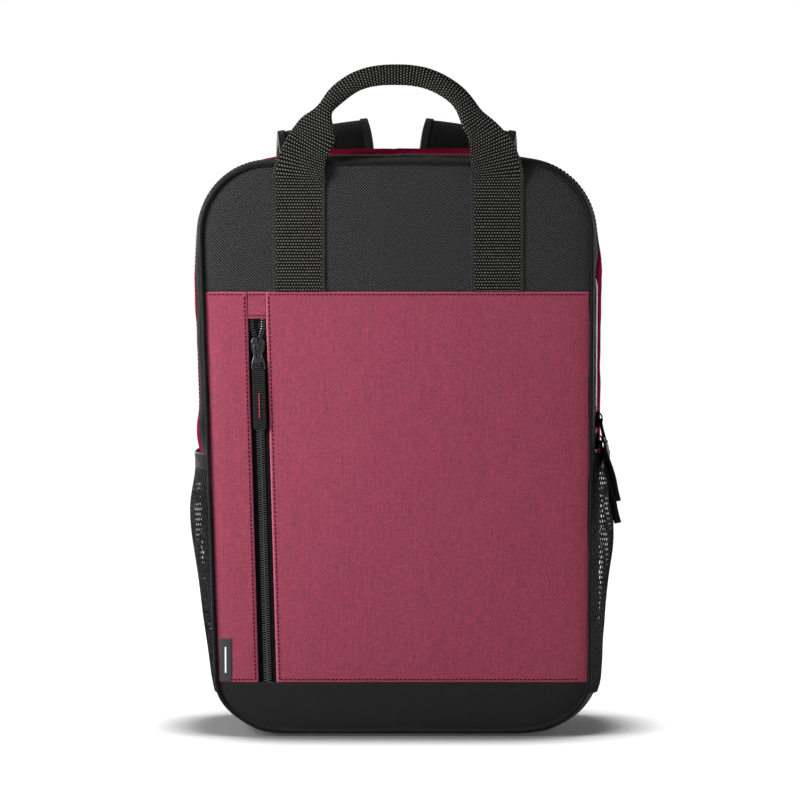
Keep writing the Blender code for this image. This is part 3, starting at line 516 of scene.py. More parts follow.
def sheet(name, grid, uv, thick, material, out, fold_highlight=None):
    """A closed cloth whose outer face is the grid of points; out is the way its outer face looks."""
    rows, cols = grid.shape[:2]
    count = rows * cols
    points = np.concatenate([grid.reshape(-1, 3), (grid - out * thick).reshape(-1, 3)])
    face = grid_faces(rows, cols)
    index = np.arange(count).reshape(rows, cols)
    border = np.concatenate([index[0, :-1], index[:-1, -1], index[-1, :0:-1], index[:0:-1, 0]])
    ahead = np.roll(border, -1)
    faces = [face, face[:, ::-1] + count, joined(ahead, border, border + count, ahead + count)]
    r, c = rows // 2, cols // 2
    turn = np.cross(grid[r, c] - grid[r, c - 1], grid[r, c] - grid[r - 1, c])
    way = np.broadcast_to(out, grid.shape)[r, c]
    if turn @ way < 0:
        faces = [f[:, ::-1] for f in faces]
    uv = np.concatenate([uv.reshape(-1, 2)] * 2)
    if fold_highlight is not None:
        fold_highlight = np.concatenate([fold_highlight.ravel()] * 2)
    return make(name, points, faces, material, uv, fold_highlight)


def flat_size(grid):
    """Width, length and area of the flat cloth that a grid of points was made from."""
    across = np.linalg.norm(np.diff(grid, axis=1), axis=-1)
    along = np.linalg.norm(np.diff(grid, axis=0), axis=-1)
    width, length = across.sum(1).max(), along.sum(0).max()
    a, b = grid[1:, :-1] - grid[:-1, :-1], grid[:-1, 1:] - grid[:-1, :-1]
    c, d = grid[1:, :-1] - grid[1:, 1:], grid[:-1, 1:] - grid[1:, 1:]
    area = (np.linalg.norm(np.cross(a, b), axis=-1) + np.linalg.norm(np.cross(c, d), axis=-1)).sum() / 2
    return round(float(width), 4), round(float(length), 4), float(area)


def declare(grid):
    """The flat size that a piece of stretched cloth was made from, worked out and not used."""
    width, length, area = flat_size(grid)
    area = min(area, width * length)


def stops(length, step, edge=(0.0004, 0.001, 0.002)):
    """Positions from 0 to length, closer together near both ends."""
    ends = [e for e in edge if e < length / 3]
    margin = ends[-1] if ends else 0
    inner = np.linspace(margin, length - margin, max(2, round(length / step)))
    return np.unique(np.concatenate([[0], ends, inner, [length - e for e in ends], [length]]))


def shares(length, step):
    """Shares from 0 to 1 for a cloth about this long, closer together near both ends."""
    return stops(length, step) / length


def tube(name, path, out, radius, material, closed=False, sides=10):
    """A round tube along a path; out is roughly sideways to it."""
    path = np.asarray(path, float)
    if closed:
        along = unit(np.roll(path, -1, 0) - np.roll(path, 1, 0))
    else:
        along = unit(np.gradient(path, axis=0))
    out = square_to(along, out)
    side = np.cross(along, out)
    turn = np.arange(sides) * math.tau / sides
    radius = np.broadcast_to(radius, (len(path),))[:, None, None]
    ring = np.cos(turn)[None, :, None] * out[:, None] + np.sin(turn)[None, :, None] * side[:, None]
    points = path[:, None] + ring * radius
    count = len(path)
    uv = joined(turn[None] * radius[:, 0], run_along(path)[:, None]).reshape(-1, 2)
    if closed:
        faces = grid_faces(count + 1, sides, wrap=True) % (count * sides)
        caps = []
    else:
        faces = grid_faces(count, sides, wrap=True)
        first = np.arange(sides)[None, :]
        caps = [first[:, ::-1], first + (count - 1) * sides]
    return make(name, points.reshape(-1, 3), [faces, *caps], material, uv)


def strap(name, path, wide, width, thick, material, power=24.0, step=0.0012, relief=None, cells=None):
    """A flat or folded strap along a path. power rounds its section: 2 is an ellipse, 24 nearly flat."""
    path = np.asarray(path, float)
    run = run_along(path)
    at = np.linspace(0, run[-1], max(4, round(run[-1] / step)))
    middle = sample(at, run, path)
    along = unit(np.gradient(middle, axis=0))
    wide = square_to(along, sample(at, run, np.broadcast_to(wide, path.shape)))
    thin = np.cross(along, wide)
    width, thick, power, _ = sample(at, run, joined(width, thick, power, run)).T
    cells = cells or max(8, round(width.max() / step))
    share = -np.cos(np.linspace(0, np.pi, cells + 1)) * 0.35 + np.linspace(-1, 1, cells + 1) * 0.65
    height = (1 - np.abs(share)[None] ** power[:, None]).clip(0) ** (1 / power[:, None])
    height[:, [0, -1]] = 0
    u = share[None] * width[:, None] / 2
    top, low = height * thick[:, None] / 2, -height[:, -2:0:-1] * thick[:, None] / 2
    us = np.concatenate([u, u[:, -2:0:-1]], 1)
    ts = np.concatenate([top, low], 1)
    if relief is not None:
        ts = ts + np.sign(ts) * relief(us, at[:, None] + 0 * us) * (np.abs(us) < width[:, None] * 0.492)
    points = middle[:, None] + us[..., None] * wide[:, None] + ts[..., None] * thin[:, None]
    ring = us.shape[1]
    uv = joined(us, at[:, None]).reshape(-1, 2)
    ends = np.arange(ring)[None, :]
    faces = [grid_faces(len(at), ring, wrap=True), ends, ends[:, ::-1] + (len(at) - 1) * ring]
    half = cells // 2
    normal = np.cross(points[1, half + 1] - points[1, half], points[2, half] - points[1, half])
    if normal @ (points[1, half] - middle[1]) < 0:
        faces = [f[:, ::-1] for f in faces]
    return make(name, points.reshape(-1, 3), faces, material, uv)


def woven_relief(across, along, height, edge=0.0162):
    """The raised floats of the webbing as heights, at about the pitch of its material."""

    def lift(u, v):
        row = v / along
        column = u / across + 0.5 * (np.floor(row) % 2)
        a, b = (column % 1 - 0.5) / 0.42, (row % 1 - 0.5) / 0.42
        floats = (1 - a * a - b * b).clip(0) * (np.abs(u) < edge)
        bars = (0.5 + 0.5 * np.sin(math.tau * v * 2 / along)) * (np.abs(u) >= edge) * 0.5
        return height * (floats + bars)

    return lift


NARROW_RELIEF = woven_relief(0.0018, 0.0020, 0.00016, 0.011)


def plate(name, loops, thick, bevel, material, matrix):
    """A flat plate with rounded edges from closed loops in x and z: its outside, then its holes."""
    curve = bpy.data.curves.new(name, "CURVE")
    curve.dimensions, curve.fill_mode = "2D", "BOTH"
    curve.extrude, curve.bevel_depth, curve.bevel_resolution = thick / 2 - bevel, bevel, 2
    curve.offset = -bevel
    for loop in loops:
        spline = curve.splines.new("POLY")
        spline.points.add(len(loop) - 1)
        for point, (x, z) in zip(spline.points, loop):
            point.co = (x, z, 0, 1)
        spline.use_cyclic_u = True
    holder = bpy.data.objects.new(name, curve)
    bpy.context.scene.collection.objects.link(holder)
    mesh = bpy.data.meshes.new_from_object(holder.evaluated_get(bpy.context.evaluated_depsgraph_get()))
    bpy.data.objects.remove(holder)
    bpy.data.curves.remove(curve)
    mesh.transform(matrix @ Matrix.Rotation(math.pi / 2, 4, "X"))
    shape = bmesh.new()
    shape.from_mesh(mesh)
    bmesh.ops.remove_doubles(shape, verts=shape.verts, dist=0.000002)
    bmesh.ops.recalc_face_normals(shape, faces=shape.faces)
    shape.to_mesh(mesh)
    shape.free()
    mesh.shade_smooth()
    mesh.set_sharp_from_angle(angle=math.radians(35))
    mesh.materials.clear()
    mesh.materials.append(material)
    obj = bpy.data.objects.new(name, mesh)
    bpy.context.scene.collection.objects.link(obj)
    return obj


def rounded(loop, radius, steps=4):
    """A closed loop with its corners rounded."""
    loop = [Vector(p) for p in loop]
    points = []
    for i, here in enumerate(loop):
        before, after = loop[i - 1] - here, loop[(i + 1) % len(loop)] - here
        reach = min(radius, before.length * 0.48, after.length * 0.48)
        a, b = here + before.normalized() * reach, here + after.normalized() * reach
        for k in range(steps + 1):
            t = k / steps
            points.append(tuple(a * (1 - t) ** 2 + here * 2 * t * (1 - t) + b * t * t))
    return points


def box_loop(low_x, high_x, low_z, high_z):
    return [(low_x, low_z), (high_x, low_z), (high_x, high_z), (low_x, high_z)]


def stamp(name, template, faces, origins, axes, material):
    """Many copies of a small shape; axes holds, for each copy, its three scaled axes."""
    template = np.asarray(template, float)
    points = origins[:, None] + np.einsum("tk,nkc->ntc", template, axes)
    shifts = (np.arange(len(origins)) * len(template))[:, None, None]
    flipped = np.linalg.det(axes[0]) < 0
    faces = [(np.asarray(f)[:, ::-1] if flipped else np.asarray(f))[None] + shifts for f in faces]
    return make(name, points.reshape(-1, 3), [f.reshape(-1, f.shape[-1]) for f in faces], material)


def spindle(sides, rings):
    """A small closed stick along its third axis, one long and two wide, with rounded ends."""
    turn = np.arange(sides) * math.tau / sides
    points = [(r * math.cos(t), r * math.sin(t), z) for z, r in rings for t in turn]
    ends = np.arange(sides)[None, :]
    return points, [grid_faces(len(rings), sides, wrap=True), ends[:, ::-1], ends + (len(rings) - 1) * sides]


STITCH = spindle(5, ((-0.5, 0.35), (-0.36, 0.95), (0.36, 0.95), (0.5, 0.35)))
TOOTH = spindle(6, ((-0.5, 0.55), (-0.38, 0.98), (0.1, 0.9), (0.36, 1.1), (0.5, 0.6)))


def stitch_row(paths, outs, name, material, body, slot, pitch=0.0031, length=0.0022, radius=0.00040):
    """Rows of stitches sunk into the cloth along some paths; outs are the ways out of the cloth."""
    origins, axes = [], []
    for path, out in zip(paths, outs):
        run = run_along(path)
        at = np.arange(pitch * 0.7, run[-1] - pitch * 0.5, pitch)
        here = sample(at, run, path)
        along = unit(sample(at + 0.0005, run, path) - here)
        out = square_to(along, sample(at, run, np.broadcast_to(out, path.shape)))
        side = np.cross(out, along)
        tilt = ripple(at, at * 0, pitch * 1.7, 5)[:, None] * 0.08
        origins.append(here + out * radius * 0.15)
        axes.append(np.stack([side * radius, out * radius, unit(along + side * tilt) * length], 1))
    obj = stamp(name, *STITCH, np.concatenate(origins), np.concatenate(axes), material)
    return settle(obj, body, slot)


# ---------------------------------------------------------------- the rim: the seam line in x and z
def seam_outline():
    """Arc length, x, z and outward normal of the seam, from its middle at the foot, right side first."""
    corners = np.array([(v.co.x, v.co.z) for v in frame["nodes"]["back_panel"].data.vertices])
    corners = np.unique(np.round(corners, 6), axis=0)
    turn = np.mod(np.arctan2(corners[:, 1] - 0.2, corners[:, 0]) + math.pi / 2, math.tau)
    loop = corners[np.argsort(turn)]
    loop = np.concatenate([loop[-1:], loop, loop[:1]])
    run = run_along(loop)
    dense = sample(np.linspace(0, run[-2], 1401)[:-1], run, loop)
    x, z = smoothed(np.concatenate([dense[-12:], dense, dense[:12]]), bell(12, 3.5)).T
    start = np.argmin(np.abs(x) + (z > 0.1))
    x, z = np.roll(x, -start), np.roll(z, -start)
    dx, dz = np.roll(x, -1) - np.roll(x, 1), np.roll(z, -1) - np.roll(z, 1)
    size = np.hypot(dx, dz)
    nx, nz = dz / size, -dx / size
    x, z = x + nx * 0.002, z + nz * 0.002
    x, z, nx, nz = (np.append(a, a[0]) for a in (x, z, nx, nz))
    s = np.concatenate([[0], np.cumsum(np.hypot(np.diff(x), np.diff(z)))])
    return s, x, z, nx, nz


RIM = seam_outline()
RIM_LENGTH = RIM[0][-1]
TOP_S = RIM[0][np.argmin(np.abs(RIM[1]) + (RIM[2] < 0.2))]
RIM_TREE = KDTree(len(RIM[0]))
for number, (rim_x, rim_z) in enumerate(zip(RIM[1], RIM[2])):
    RIM_TREE.insert((rim_x, rim_z, 0), number)
RIM_TREE.balance()


def rim(s):
    """x, z and outward normal of the seam at distances along it."""
    s = np.mod(s, RIM_LENGTH)
    return [np.interp(s, RIM[0], a) for a in RIM[1:]]


def rim_s(side, z):
    """Where along the seam one side reaches a height."""
    half = RIM[0] <= TOP_S if side > 0 else RIM[0] >= TOP_S
    s, height = RIM[0][half], RIM[2][half]
    if side < 0:
        s, height = s[::-1], height[::-1]
    return np.interp(z, np.maximum.accumulate(height) + np.arange(len(s)) * 1e-9, s)


def rim_corner(side, top):
    """Where the seam runs at 45 degrees in one of its corners."""
    wanted = np.array([side, 1 if top else -1]) / math.sqrt(2)
    return RIM[0][np.argmax(RIM[3] * wanted[0] + RIM[4] * wanted[1])]


def rim_distance(x, z):
    """How far places in x and z are from the seam."""
    flat = joined(np.ravel(x), np.ravel(z))
    return np.array([RIM_TREE.find((a, b, 0))[2] for a, b in flat]).reshape(np.shape(x))


def bulge(x, y, z):
    """How far the side wall stands out of the seam line."""
    # the left wall is drawn in above the foot and stands full again behind the net's belly
    drawn_in = 0.0068 * smooth(z / 0.045) - 0.0063 * smooth((z - 0.065) / 0.060)
    reach = GUSSET_BULGE - np.where(x < 0, drawn_in, 0.0)
    high = smooth((z - 0.335) / 0.035)
    reach = reach - np.where(x < 0, LEFT_SAG, 0.0) * smooth((z - 0.215) / 0.03) * (1 - high)
    reach = reach - CORNER_SAG * high * smooth((np.abs(x) - 0.070) / 0.030)
    reach = reach + TOP_RISE * high * smooth((0.092 - np.abs(x)) / 0.030)
    # on the left, and at the top corners, the front strip stands as far out as the rest
    flat = np.where(x < 0, 1.0, high) * smooth((z - 0.200) / 0.03) * smooth((np.abs(x) - 0.070) / 0.030)
    power = BULGE_POWER + (FLAT_POWER - BULGE_POWER) * flat
    return reach * (1 - np.minimum(1, np.abs(y) / HALF_DEPTH) ** power)


def gusset(s, y, lift=0.0):
    """A point on the side wall, or lift outside it."""
    x, z, nx, nz = rim(s)
    reach = bulge(x, y, z) + lift
    return joined(x + nx * reach, y + 0 * x, np.maximum(z + nz * reach, 0.0002))


def gusset_out(s, y):
    """The way out of the side wall."""
    e = 0.0008
    return unit(np.cross(gusset(s, y + e) - gusset(s, y - e), gusset(s + e, y) - gusset(s - e, y)))


def gusset_sheet(name, s0, s1, y0, y1, material, thick=0.0012, step=0.0028, lift=None, seed=3, soft=0.0005):
    """Part of the side wall as a cloth. y0 and y1 may change along it; lift(s, y) is its stand-off."""
    s = s0 + stops(s1 - s0, step)
    low, high = np.broadcast_to(y0, s.shape), np.broadcast_to(y1, s.shape)
    width = float((high - low).max())
    share = stops(width, min(step, width / 5)) / width
    y = low[:, None] + (high - low)[:, None] * share[None]
    s = s[:, None] + 0 * y
    inset = np.minimum(y - low[:, None], high[:, None] - y)
    rolled = -0.0006 * (1 - smooth(inset / 0.0012)) * (np.abs(y) < 0.055)
    height = rolled + soft * ripple(s, y, 0.031, seed) + soft * 0.5 * ripple(s, y, 0.012, seed + 1)
    if lift is not None:
        height = height + lift(s, y)
    grid = gusset(s, y, height)
    obj = sheet(name, grid, joined(y, s), thick, material, gusset_out(s, y))
    return obj, grid


# ---------------------------------------------------------------- front cloths
def zip_x(z):
    """Where the front pocket's leaning zip is at a height."""
    return POCKET_ZIP_TOP_X + (POCKET_ZIP_TOP - z) * POCKET_ZIP_LEAN


def front_y(x, z):
    """Depth of the front's cloth: it rolls back to the piping and is a little crowned inside."""
    x, z = np.broadcast_arrays(np.asarray(x, float), z)
    away = rim_distance(x, z)
    y = FACE_Y + 0.0007 - 0.0016 * (1 - np.exp(-away / 0.006))
    right = rim(rim_s(1, np.clip(z, 0.045, 0.345)))[0]
    across = np.clip((x - zip_x(z) - 0.010) / (right - zip_x(z) - 0.010), 0, 1)
    up = np.clip((z - SEAM_BAND_Z) / (SEAM_POCKET_Z - SEAM_BAND_Z), 0, 1)
    crown = 0.0024 * np.sin(np.pi * across) ** 0.8 * np.sin(np.pi * up) ** 0.7
    soft = 0.00030 * ripple(x, z, 0.060, 11) + 0.00016 * ripple(x, z, 0.022, 12)
    return y - crown - soft * smooth(away / 0.02)


def fold_roll(distance, depth=0.0008, width=0.0014):
    """How far a folded edge turns back, by the distance to it."""
    t = np.clip(distance / width, 0, 1)
    return depth * (1 - np.sqrt(1 - (1 - t) ** 2))


def front_cloth(name, x, z, folds, material, sink=0.0):
    """A cloth of the front over a grid of places; folds are distances to its folded edges."""
    y = front_y(x, z) + sink
    near = np.full(y.shape, 1.0)
    for distance in folds:
        y = y + fold_roll(distance)
        near = np.minimum(near, distance)
    # weight of the painted highlight along folded edges, strongest at the fold
    fold_highlight = np.clip(1.2 - near / 0.0007, 0, 1) * 0.65
    grid = joined(x, y, z)
    obj = sheet(name, grid, joined(x, z), 0.0016, material, FRONTWARDS, fold_highlight)
    return obj, grid


def coons(bottom, top, left, right):
    """A grid of places spanned by four edges, each an array of x, z."""
    u = np.linspace(0, 1, len(bottom))[None, :, None]
    v = np.linspace(0, 1, len(left))[:, None, None]
    ruled = (1 - v) * bottom[None] + v * top[None] + (1 - u) * left[:, None] + u * right[:, None]
    low, high = (1 - u) * bottom[0] + u * bottom[-1], (1 - u) * top[0] + u * top[-1]
    return ruled - (1 - v) * low - v * high


def rim_places(s):
    """Places just inside the seam."""
    x, z, nx, nz = rim(s)
    return joined(x - nx * 0.0005, z - nz * 0.0005)


def front_seam(x, z):
    """A line for stitches on the front's cloth."""
    return joined(x, front_y(x, z) - 0.0001, z)


def make_burgundy_front(low_z, high_z):
    z = low_z + stops(high_z - low_z, 0.0026)[:, None]
    right = rim(rim_s(1, np.maximum(z, 0.0435)))[0] - 0.0006
    left = rim(rim_s(-1, np.maximum(z, 0.0435)))[0] + 0.0006
    slot_right, slot_left = zip_x(z) + POCKET_ZIP_HALF, zip_x(z) - POCKET_ZIP_HALF
    x_main = slot_right + (right - slot_right) * shares(0.235, 0.0026)
    x_strip = left + (slot_left - left) * shares(0.033, 0.0026)
    for name, x, from_slot, nodes in (
        ("front_panel_main", x_main, x_main - slot_right, ("pocket_panel_lower", "pocket_panel_upper")),
        ("front_panel_strip", x_strip, slot_left - x_strip, ("pocket_strip_lower", "pocket_strip_upper")),
    ):
        panel, grid = front_cloth(name, x, z, [from_slot, high_z - z], BURGUNDY)
        declare(grid)
        settle(panel, FOLD, "burgundy_fabric", *nodes)

    z = POCKET_ZIP_TOP + stops(high_z - POCKET_ZIP_TOP, 0.0018)[:, None]
    half = POCKET_ZIP_HALF - 0.0003
    x = zip_x(z) + (stops(2 * half, 0.0018)[None] - half)
    cap, grid = front_cloth("zip_cap", x, z, [z - POCKET_ZIP_TOP, high_z - z], CAP, sink=0.0002)
    declare(grid)
    settle(cap, "flap", "burgundy_fabric", "pocket_zip_cap")


def make_front():
    low_z, high_z = SEAM_BAND_Z + 0.0002, SEAM_POCKET_Z
    make_burgundy_front(low_z, high_z)

    # the black panel above the pocket and the black band along the foot, each up to the seam's corners
    for name, base_z, top, material, node, body in (
        ("front_panel_upper", SEAM_POCKET_Z + 0.0003, True, BLACK_TWILL, "front_upper_panel", "flap"),
        ("front_band", SEAM_BAND_Z - 0.0001, False, BLACK_SMOOTH, "base_front_band", "pack"),
    ):
        a, b = rim_s(-1, base_z), rim_s(1, base_z)
        turn_a, turn_b = rim_corner(-1, top), rim_corner(1, top)
        far_b = turn_b if top else turn_b + RIM_LENGTH
        share = shares(0.26, 0.0028)
        rise = shares(0.06, 0.0028)
        straight = rim_places(np.array([a, b]))
        base = straight[0] + (straight[1] - straight[0]) * share[:, None]
        edge = rim_places(turn_a + (far_b - turn_a) * share)
        x_z = coons(base, edge, rim_places(a + (turn_a - a) * rise), rim_places(b + (turn_b - b) * rise))
        x, z = np.moveaxis(x_z if top else x_z[::-1], -1, 0)
        cloth, grid = front_cloth(name, x, z, [np.abs(z - base_z)], material, sink=0.0001)
        declare(grid)
        settle(cloth, body, "black_fabric", node)

    rows = np.linspace(low_z + 0.001, high_z - 0.001, 160)
    seams = [front_seam(zip_x(rows) + side * (POCKET_ZIP_HALF + STITCH_INSET), rows) for side in (-1, 1)]
    left, right = rim(rim_s(-1, high_z))[0] + 0.003, rim(rim_s(1, high_z))[0] - 0.003
    head, cap, foot = zip_x(high_z), zip_x(POCKET_ZIP_TOP), zip_x(low_z)
    past, within = 0.0082, 0.0070  # where rows end beside the zip's slot, and over its cap
    for start, end, z, count in (
        (left, head - past, high_z - STITCH_INSET, 120),
        (head - within, head + within, high_z - STITCH_INSET, 120),
        (head + past, right, high_z - STITCH_INSET, 120),
        (cap - within, cap + within, POCKET_ZIP_TOP + STITCH_INSET, 20),
        (-0.126, foot - past, low_z + 0.0020, 120),
        (foot + past, 0.134, low_z + 0.0020, 120),
    ):
        seams.append(front_seam(np.linspace(start, end, count), z))
    stitch_row(seams, [FRONTWARDS] * len(seams), "front_stitching", THREAD, FOLD, "burgundy_fabric")


def make_label():
    low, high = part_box("side_label")
    loop = rounded(box_loop(low.x, high.x, low.z, high.z), 0.0006)
    middle = (low.y + high.y) / 2 - 0.0004
    label = plate("side_label_cloth", [loop], 0.0008, 0.0002, LABEL, Matrix.Translation((0, middle, 0)))
    settle(label, "pack", "woven_label", "side_label")
    # a plain stripe stands where the maker's words would be
    centre = (low.x + high.x) / 2
    stripe = rounded(box_loop(centre - 0.0006, centre + 0.0006, low.z + 0.006, high.z - 0.006), 0.0004)
    place = Matrix.Translation((0, middle - 0.0005, 0))
    line = plate("side_label_stripe", [stripe], 0.0003, 0.0001, LABEL_STRIPE, place)
    settle(line, "pack", "woven_label")


# ---------------------------------------------------------------- side walls, base, piping
def make_walls():
    low_r, low_l = rim_s(1, CORNER_Z + 0.001), rim_s(-1, CORNER_Z + 0.001)
    joint_r, joint_l = rim_s(1, GUSSET_JOINT_Z), rim_s(-1, GUSSET_JOINT_Z)
    # behind the nets the wall is black
    black_r, black_l = rim_s(1, MESH_TOP - 0.004), rim_s(-1, MESH_TOP - 0.004)
    front_edge, rear_edge = ZIP_Y - ZIP_SLOT_HALF, ZIP_Y + ZIP_SLOT_HALF

    z = rim(low_r + stops(low_l - low_r, 0.0028))[1]
    inner = front_edge + (rear_edge - 0.0004 - front_edge) * smooth((HINGE_Z - 0.007 - z) / 0.003)
    # the front strip on the side faces takes the darker black, painted shade
    strip, grid = gusset_sheet("front_gusset", low_r, low_l, -WALL_EDGE, inner, SHADED_BLACK_STRIP, seed=21)
    declare(grid)
    nodes = "front_gusset_upper", "front_gusset_lower_left", "front_gusset_lower_right"
    settle(strip, FOLD, "black_fabric", *nodes)

    gap = 0.00005
    # the lower walls behind the nets take the darker black, painted shade inside the pockets
    black = dict(material=SHADED_BLACK_STRIP)
    burgundy = dict(material=BURGUNDY_WALL, step=0.0032, soft=0.0007)
    for name, start, end, node, seed, cloth in (
        ("side_wall_right_lower", low_r, black_r, "side_gusset_right", 36, black),
        ("side_wall_right", black_r, joint_r - gap, "side_gusset_right", 30, burgundy),
        ("top_wall", joint_r + gap, joint_l - gap, "top_gusset", 31, burgundy),
        ("side_wall_left_lower", black_l, low_l, "side_gusset_left", 38, black),
        ("side_wall_left", joint_l + gap, black_l, "side_gusset_left", 32, burgundy),
    ):
        wall, grid = gusset_sheet(name, start, end, rear_edge, WALL_EDGE, seed=seed, **cloth)
        declare(grid)
        settle(wall, "pack", "black_fabric" if cloth is black else "burgundy_fabric", node)

    start, end = rim_s(-1, CORNER_Z), RIM_LENGTH + rim_s(1, CORNER_Z)
    base, grid = gusset_sheet("base_shell", start, end, -WALL_EDGE, WALL_EDGE, BLACK_SMOOTH, 0.0014, seed=41)
    declare(grid)
    settle(base, "pack", "black_fabric", "base_panel")

    s = RIM[0][:-1]
    x, z, nx, nz = rim(s)
    stand = 0.0004 + 0.00012 * ripple(s, 0, 0.018, 7)
    for name, y, body, nodes in (
        ("piping_front", -PIPING_Y, FOLD, ("piping_front_upper", "piping_front_lower")),
        ("piping_back", PIPING_Y, "pack", ("piping_back",)),
    ):
        path = joined(x + nx * stand, y, z + nz * stand)
        cord = tube(name + "_cord", path, joined(nx, 0, nz), PIPING_RADIUS, PIPING, closed=True)
        settle(cord, body, "black_fabric", *nodes)
    make_wall_stitches(front_edge, rear_edge, (joint_r, joint_l))


def make_wall_stitches(front_edge, rear_edge, joints):
    for name, y, low, *look in (
        ("front", front_edge - STITCH_INSET, HINGE_Z + 0.004, BLACK_THREAD, "flap", "black_fabric"),
        ("rear", rear_edge + STITCH_INSET, MESH_TOP, WALL_THREAD, "pack", "burgundy_fabric"),
    ):
        s = np.linspace(rim_s(1, low), rim_s(-1, low), 700)
        stitch_row([gusset(s, y, -0.0002)], [gusset_out(s, y)], f"zip_stitching_{name}", *look)
    y = np.linspace(rear_edge + 0.004, 0.0575, 60)
    places = [joint + shift + 0 * y for joint in joints for shift in (-0.0024, 0.0024)]
    rows, outs = [gusset(s, y, 0.0002) for s in places], [gusset_out(s, y) for s in places]
    stitch_row(rows, outs, "wall_stitching", WALL_THREAD, "pack", "burgundy_fabric")


# ---------------------------------------------------------------- zips
def teeth(name, origin, along, out, across, material, body, *nodes):
    """A row of coil teeth, each at its place and along its own three directions."""
    axes = np.stack([axis * size for axis, size in zip((along, out, across), TOOTH_SIZE)], 1)
    settle(stamp(name, *TOOTH, origin, axes, material), body, "zip_coil", *nodes)


def zip_raise(s):
    """The zip rides higher along the middle of the top, and down the right side where the sliders run."""
    x, z, _, _ = rim(s)
    top = smooth((0.090 - np.abs(x)) / 0.020) * (z > 0.3)
    right = smooth((0.338 - z) / 0.012) * (x > 0)
    return -0.0012 + 0.0022 * top + 0.0020 * right


def make_main_zip():
    clear_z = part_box("main_upper_slider")[1].z + 0.004
    rear = (rim_s(1, HINGE_Z - 0.008), rim_s(-1, HINGE_Z - 0.008))
    front = (rim_s(1, clear_z), rear[1])
    for name, side, (start, end), body in (("front", -1, front, "flap"), ("rear", 1, rear, "pack")):
        near, far = ZIP_Y + side * 0.0009, ZIP_Y + side * 0.0085
        tape, _ = gusset_sheet(
            f"main_zip_tape_{name}", start, end, min(near, far), max(near, far), TAPE, 0.0006,
            lift=lambda s, y: zip_raise(s) - TAPE_DROP, seed=50, soft=0.0001,
        )  # fmt: skip
        settle(tape, body, "zip_tape", f"main_zip_tape_{name}")

        at = np.arange(start + 0.001 + (COIL_PITCH / 2 if side > 0 else 0), end - 0.001, COIL_PITCH)
        at = at - np.mod(start - rear[0], COIL_PITCH)
        at = at[at > start]
        y = ZIP_Y + side * TOOTH_MIDDLE
        out = gusset_out(at, y)
        along = unit(gusset(at + 0.001, y) - gusset(at - 0.001, y))
        across = unit(np.cross(out, along))
        across = across * np.sign(across[:, 1:2]) * -side
        origin = gusset(at, y, zip_raise(at) - TAPE_DROP + 0.0006)
        row = f"main_zip_teeth_{name}"
        teeth(row, origin, along, out, across, MAIN_COIL, body, f"main_zip_coil_{name}")


def make_pocket_zip():
    """The front pocket's zip: closed below its slider, spread open above it."""
    low, high = SEAM_BAND_Z - 0.004, POCKET_ZIP_TOP + 0.004
    tape_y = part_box("pocket_zip_left_upper")[0].y + 0.0016
    along = unit(np.array([-POCKET_ZIP_LEAN, 0.0, 1.0]))

    def open_share(z):
        return smooth((z - POCKET_SLIDER_Z - 0.002) / 0.012)

    for side, name in SIDES:
        z = np.arange(low, high, 0.0015)[:, None]
        near, far = 0.0007 + ZIP_SPREAD * open_share(z), 0.0105
        share = np.linspace(0, 1, 9)[None]
        x = zip_x(z) + side * (near + (far - near) * share)
        y = tape_y + 0.0003 + 0.0012 * open_share(z) * (1 - share) + 0.00008 * ripple(x, z, 0.004, 60)
        tape = sheet(f"pocket_zip_tape_{name}", joined(x, y, z), joined(x, z), 0.0005, TAPE, FRONTWARDS)
        settle(tape, FOLD, "zip_tape", f"pocket_zip_{name}_lower", f"pocket_zip_{name}_upper")
        at = np.arange(low + (COIL_PITCH / 2 if side > 0 else 0), high - 0.001, COIL_PITCH)
        spread = open_share(at)
        # above the slider the teeth lean, those of the left row more
        across = unit(-side * RIGHTWARDS + along * spread[:, None] * (0.45 if side < 0 else 0.15))
        x, y = zip_x(at) + side * (TOOTH_MIDDLE + ZIP_SPREAD * spread), tape_y - 0.0005 + 0.0012 * spread
        up, out = square_to(across, along), FRONTWARDS + 0 * across
        teeth(f"pocket_zip_teeth_{name}", joined(x, y, at), up, out, across, COIL, FOLD)


def zip_frame(pull_joint, slide_joint, way):
    """Matrix of a slider's own frame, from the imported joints: x across, -y out, z along the zip."""
    pull, slide = JOINTS[pull_joint], JOINTS[slide_joint]
    across = -Vector(pull["axis"]).normalized()
    along = Vector(slide["axis"]).normalized() * way
    out = across.cross(along).normalized()
    square = out.cross(across).normalized()
    along = square if square.dot(along) > 0 else -square
    matrix = Matrix((across, -out, along)).transposed().to_4x4()
    matrix.translation = Vector(pull["pos_m"]) - out * PULL_AXIS
    return matrix


def placed(matrix, x, y, z):
    """Points of a slider's or a pull's own frame, in the bag's."""
    return np.array([matrix @ Vector(point) for point in joined(x, y, z)])


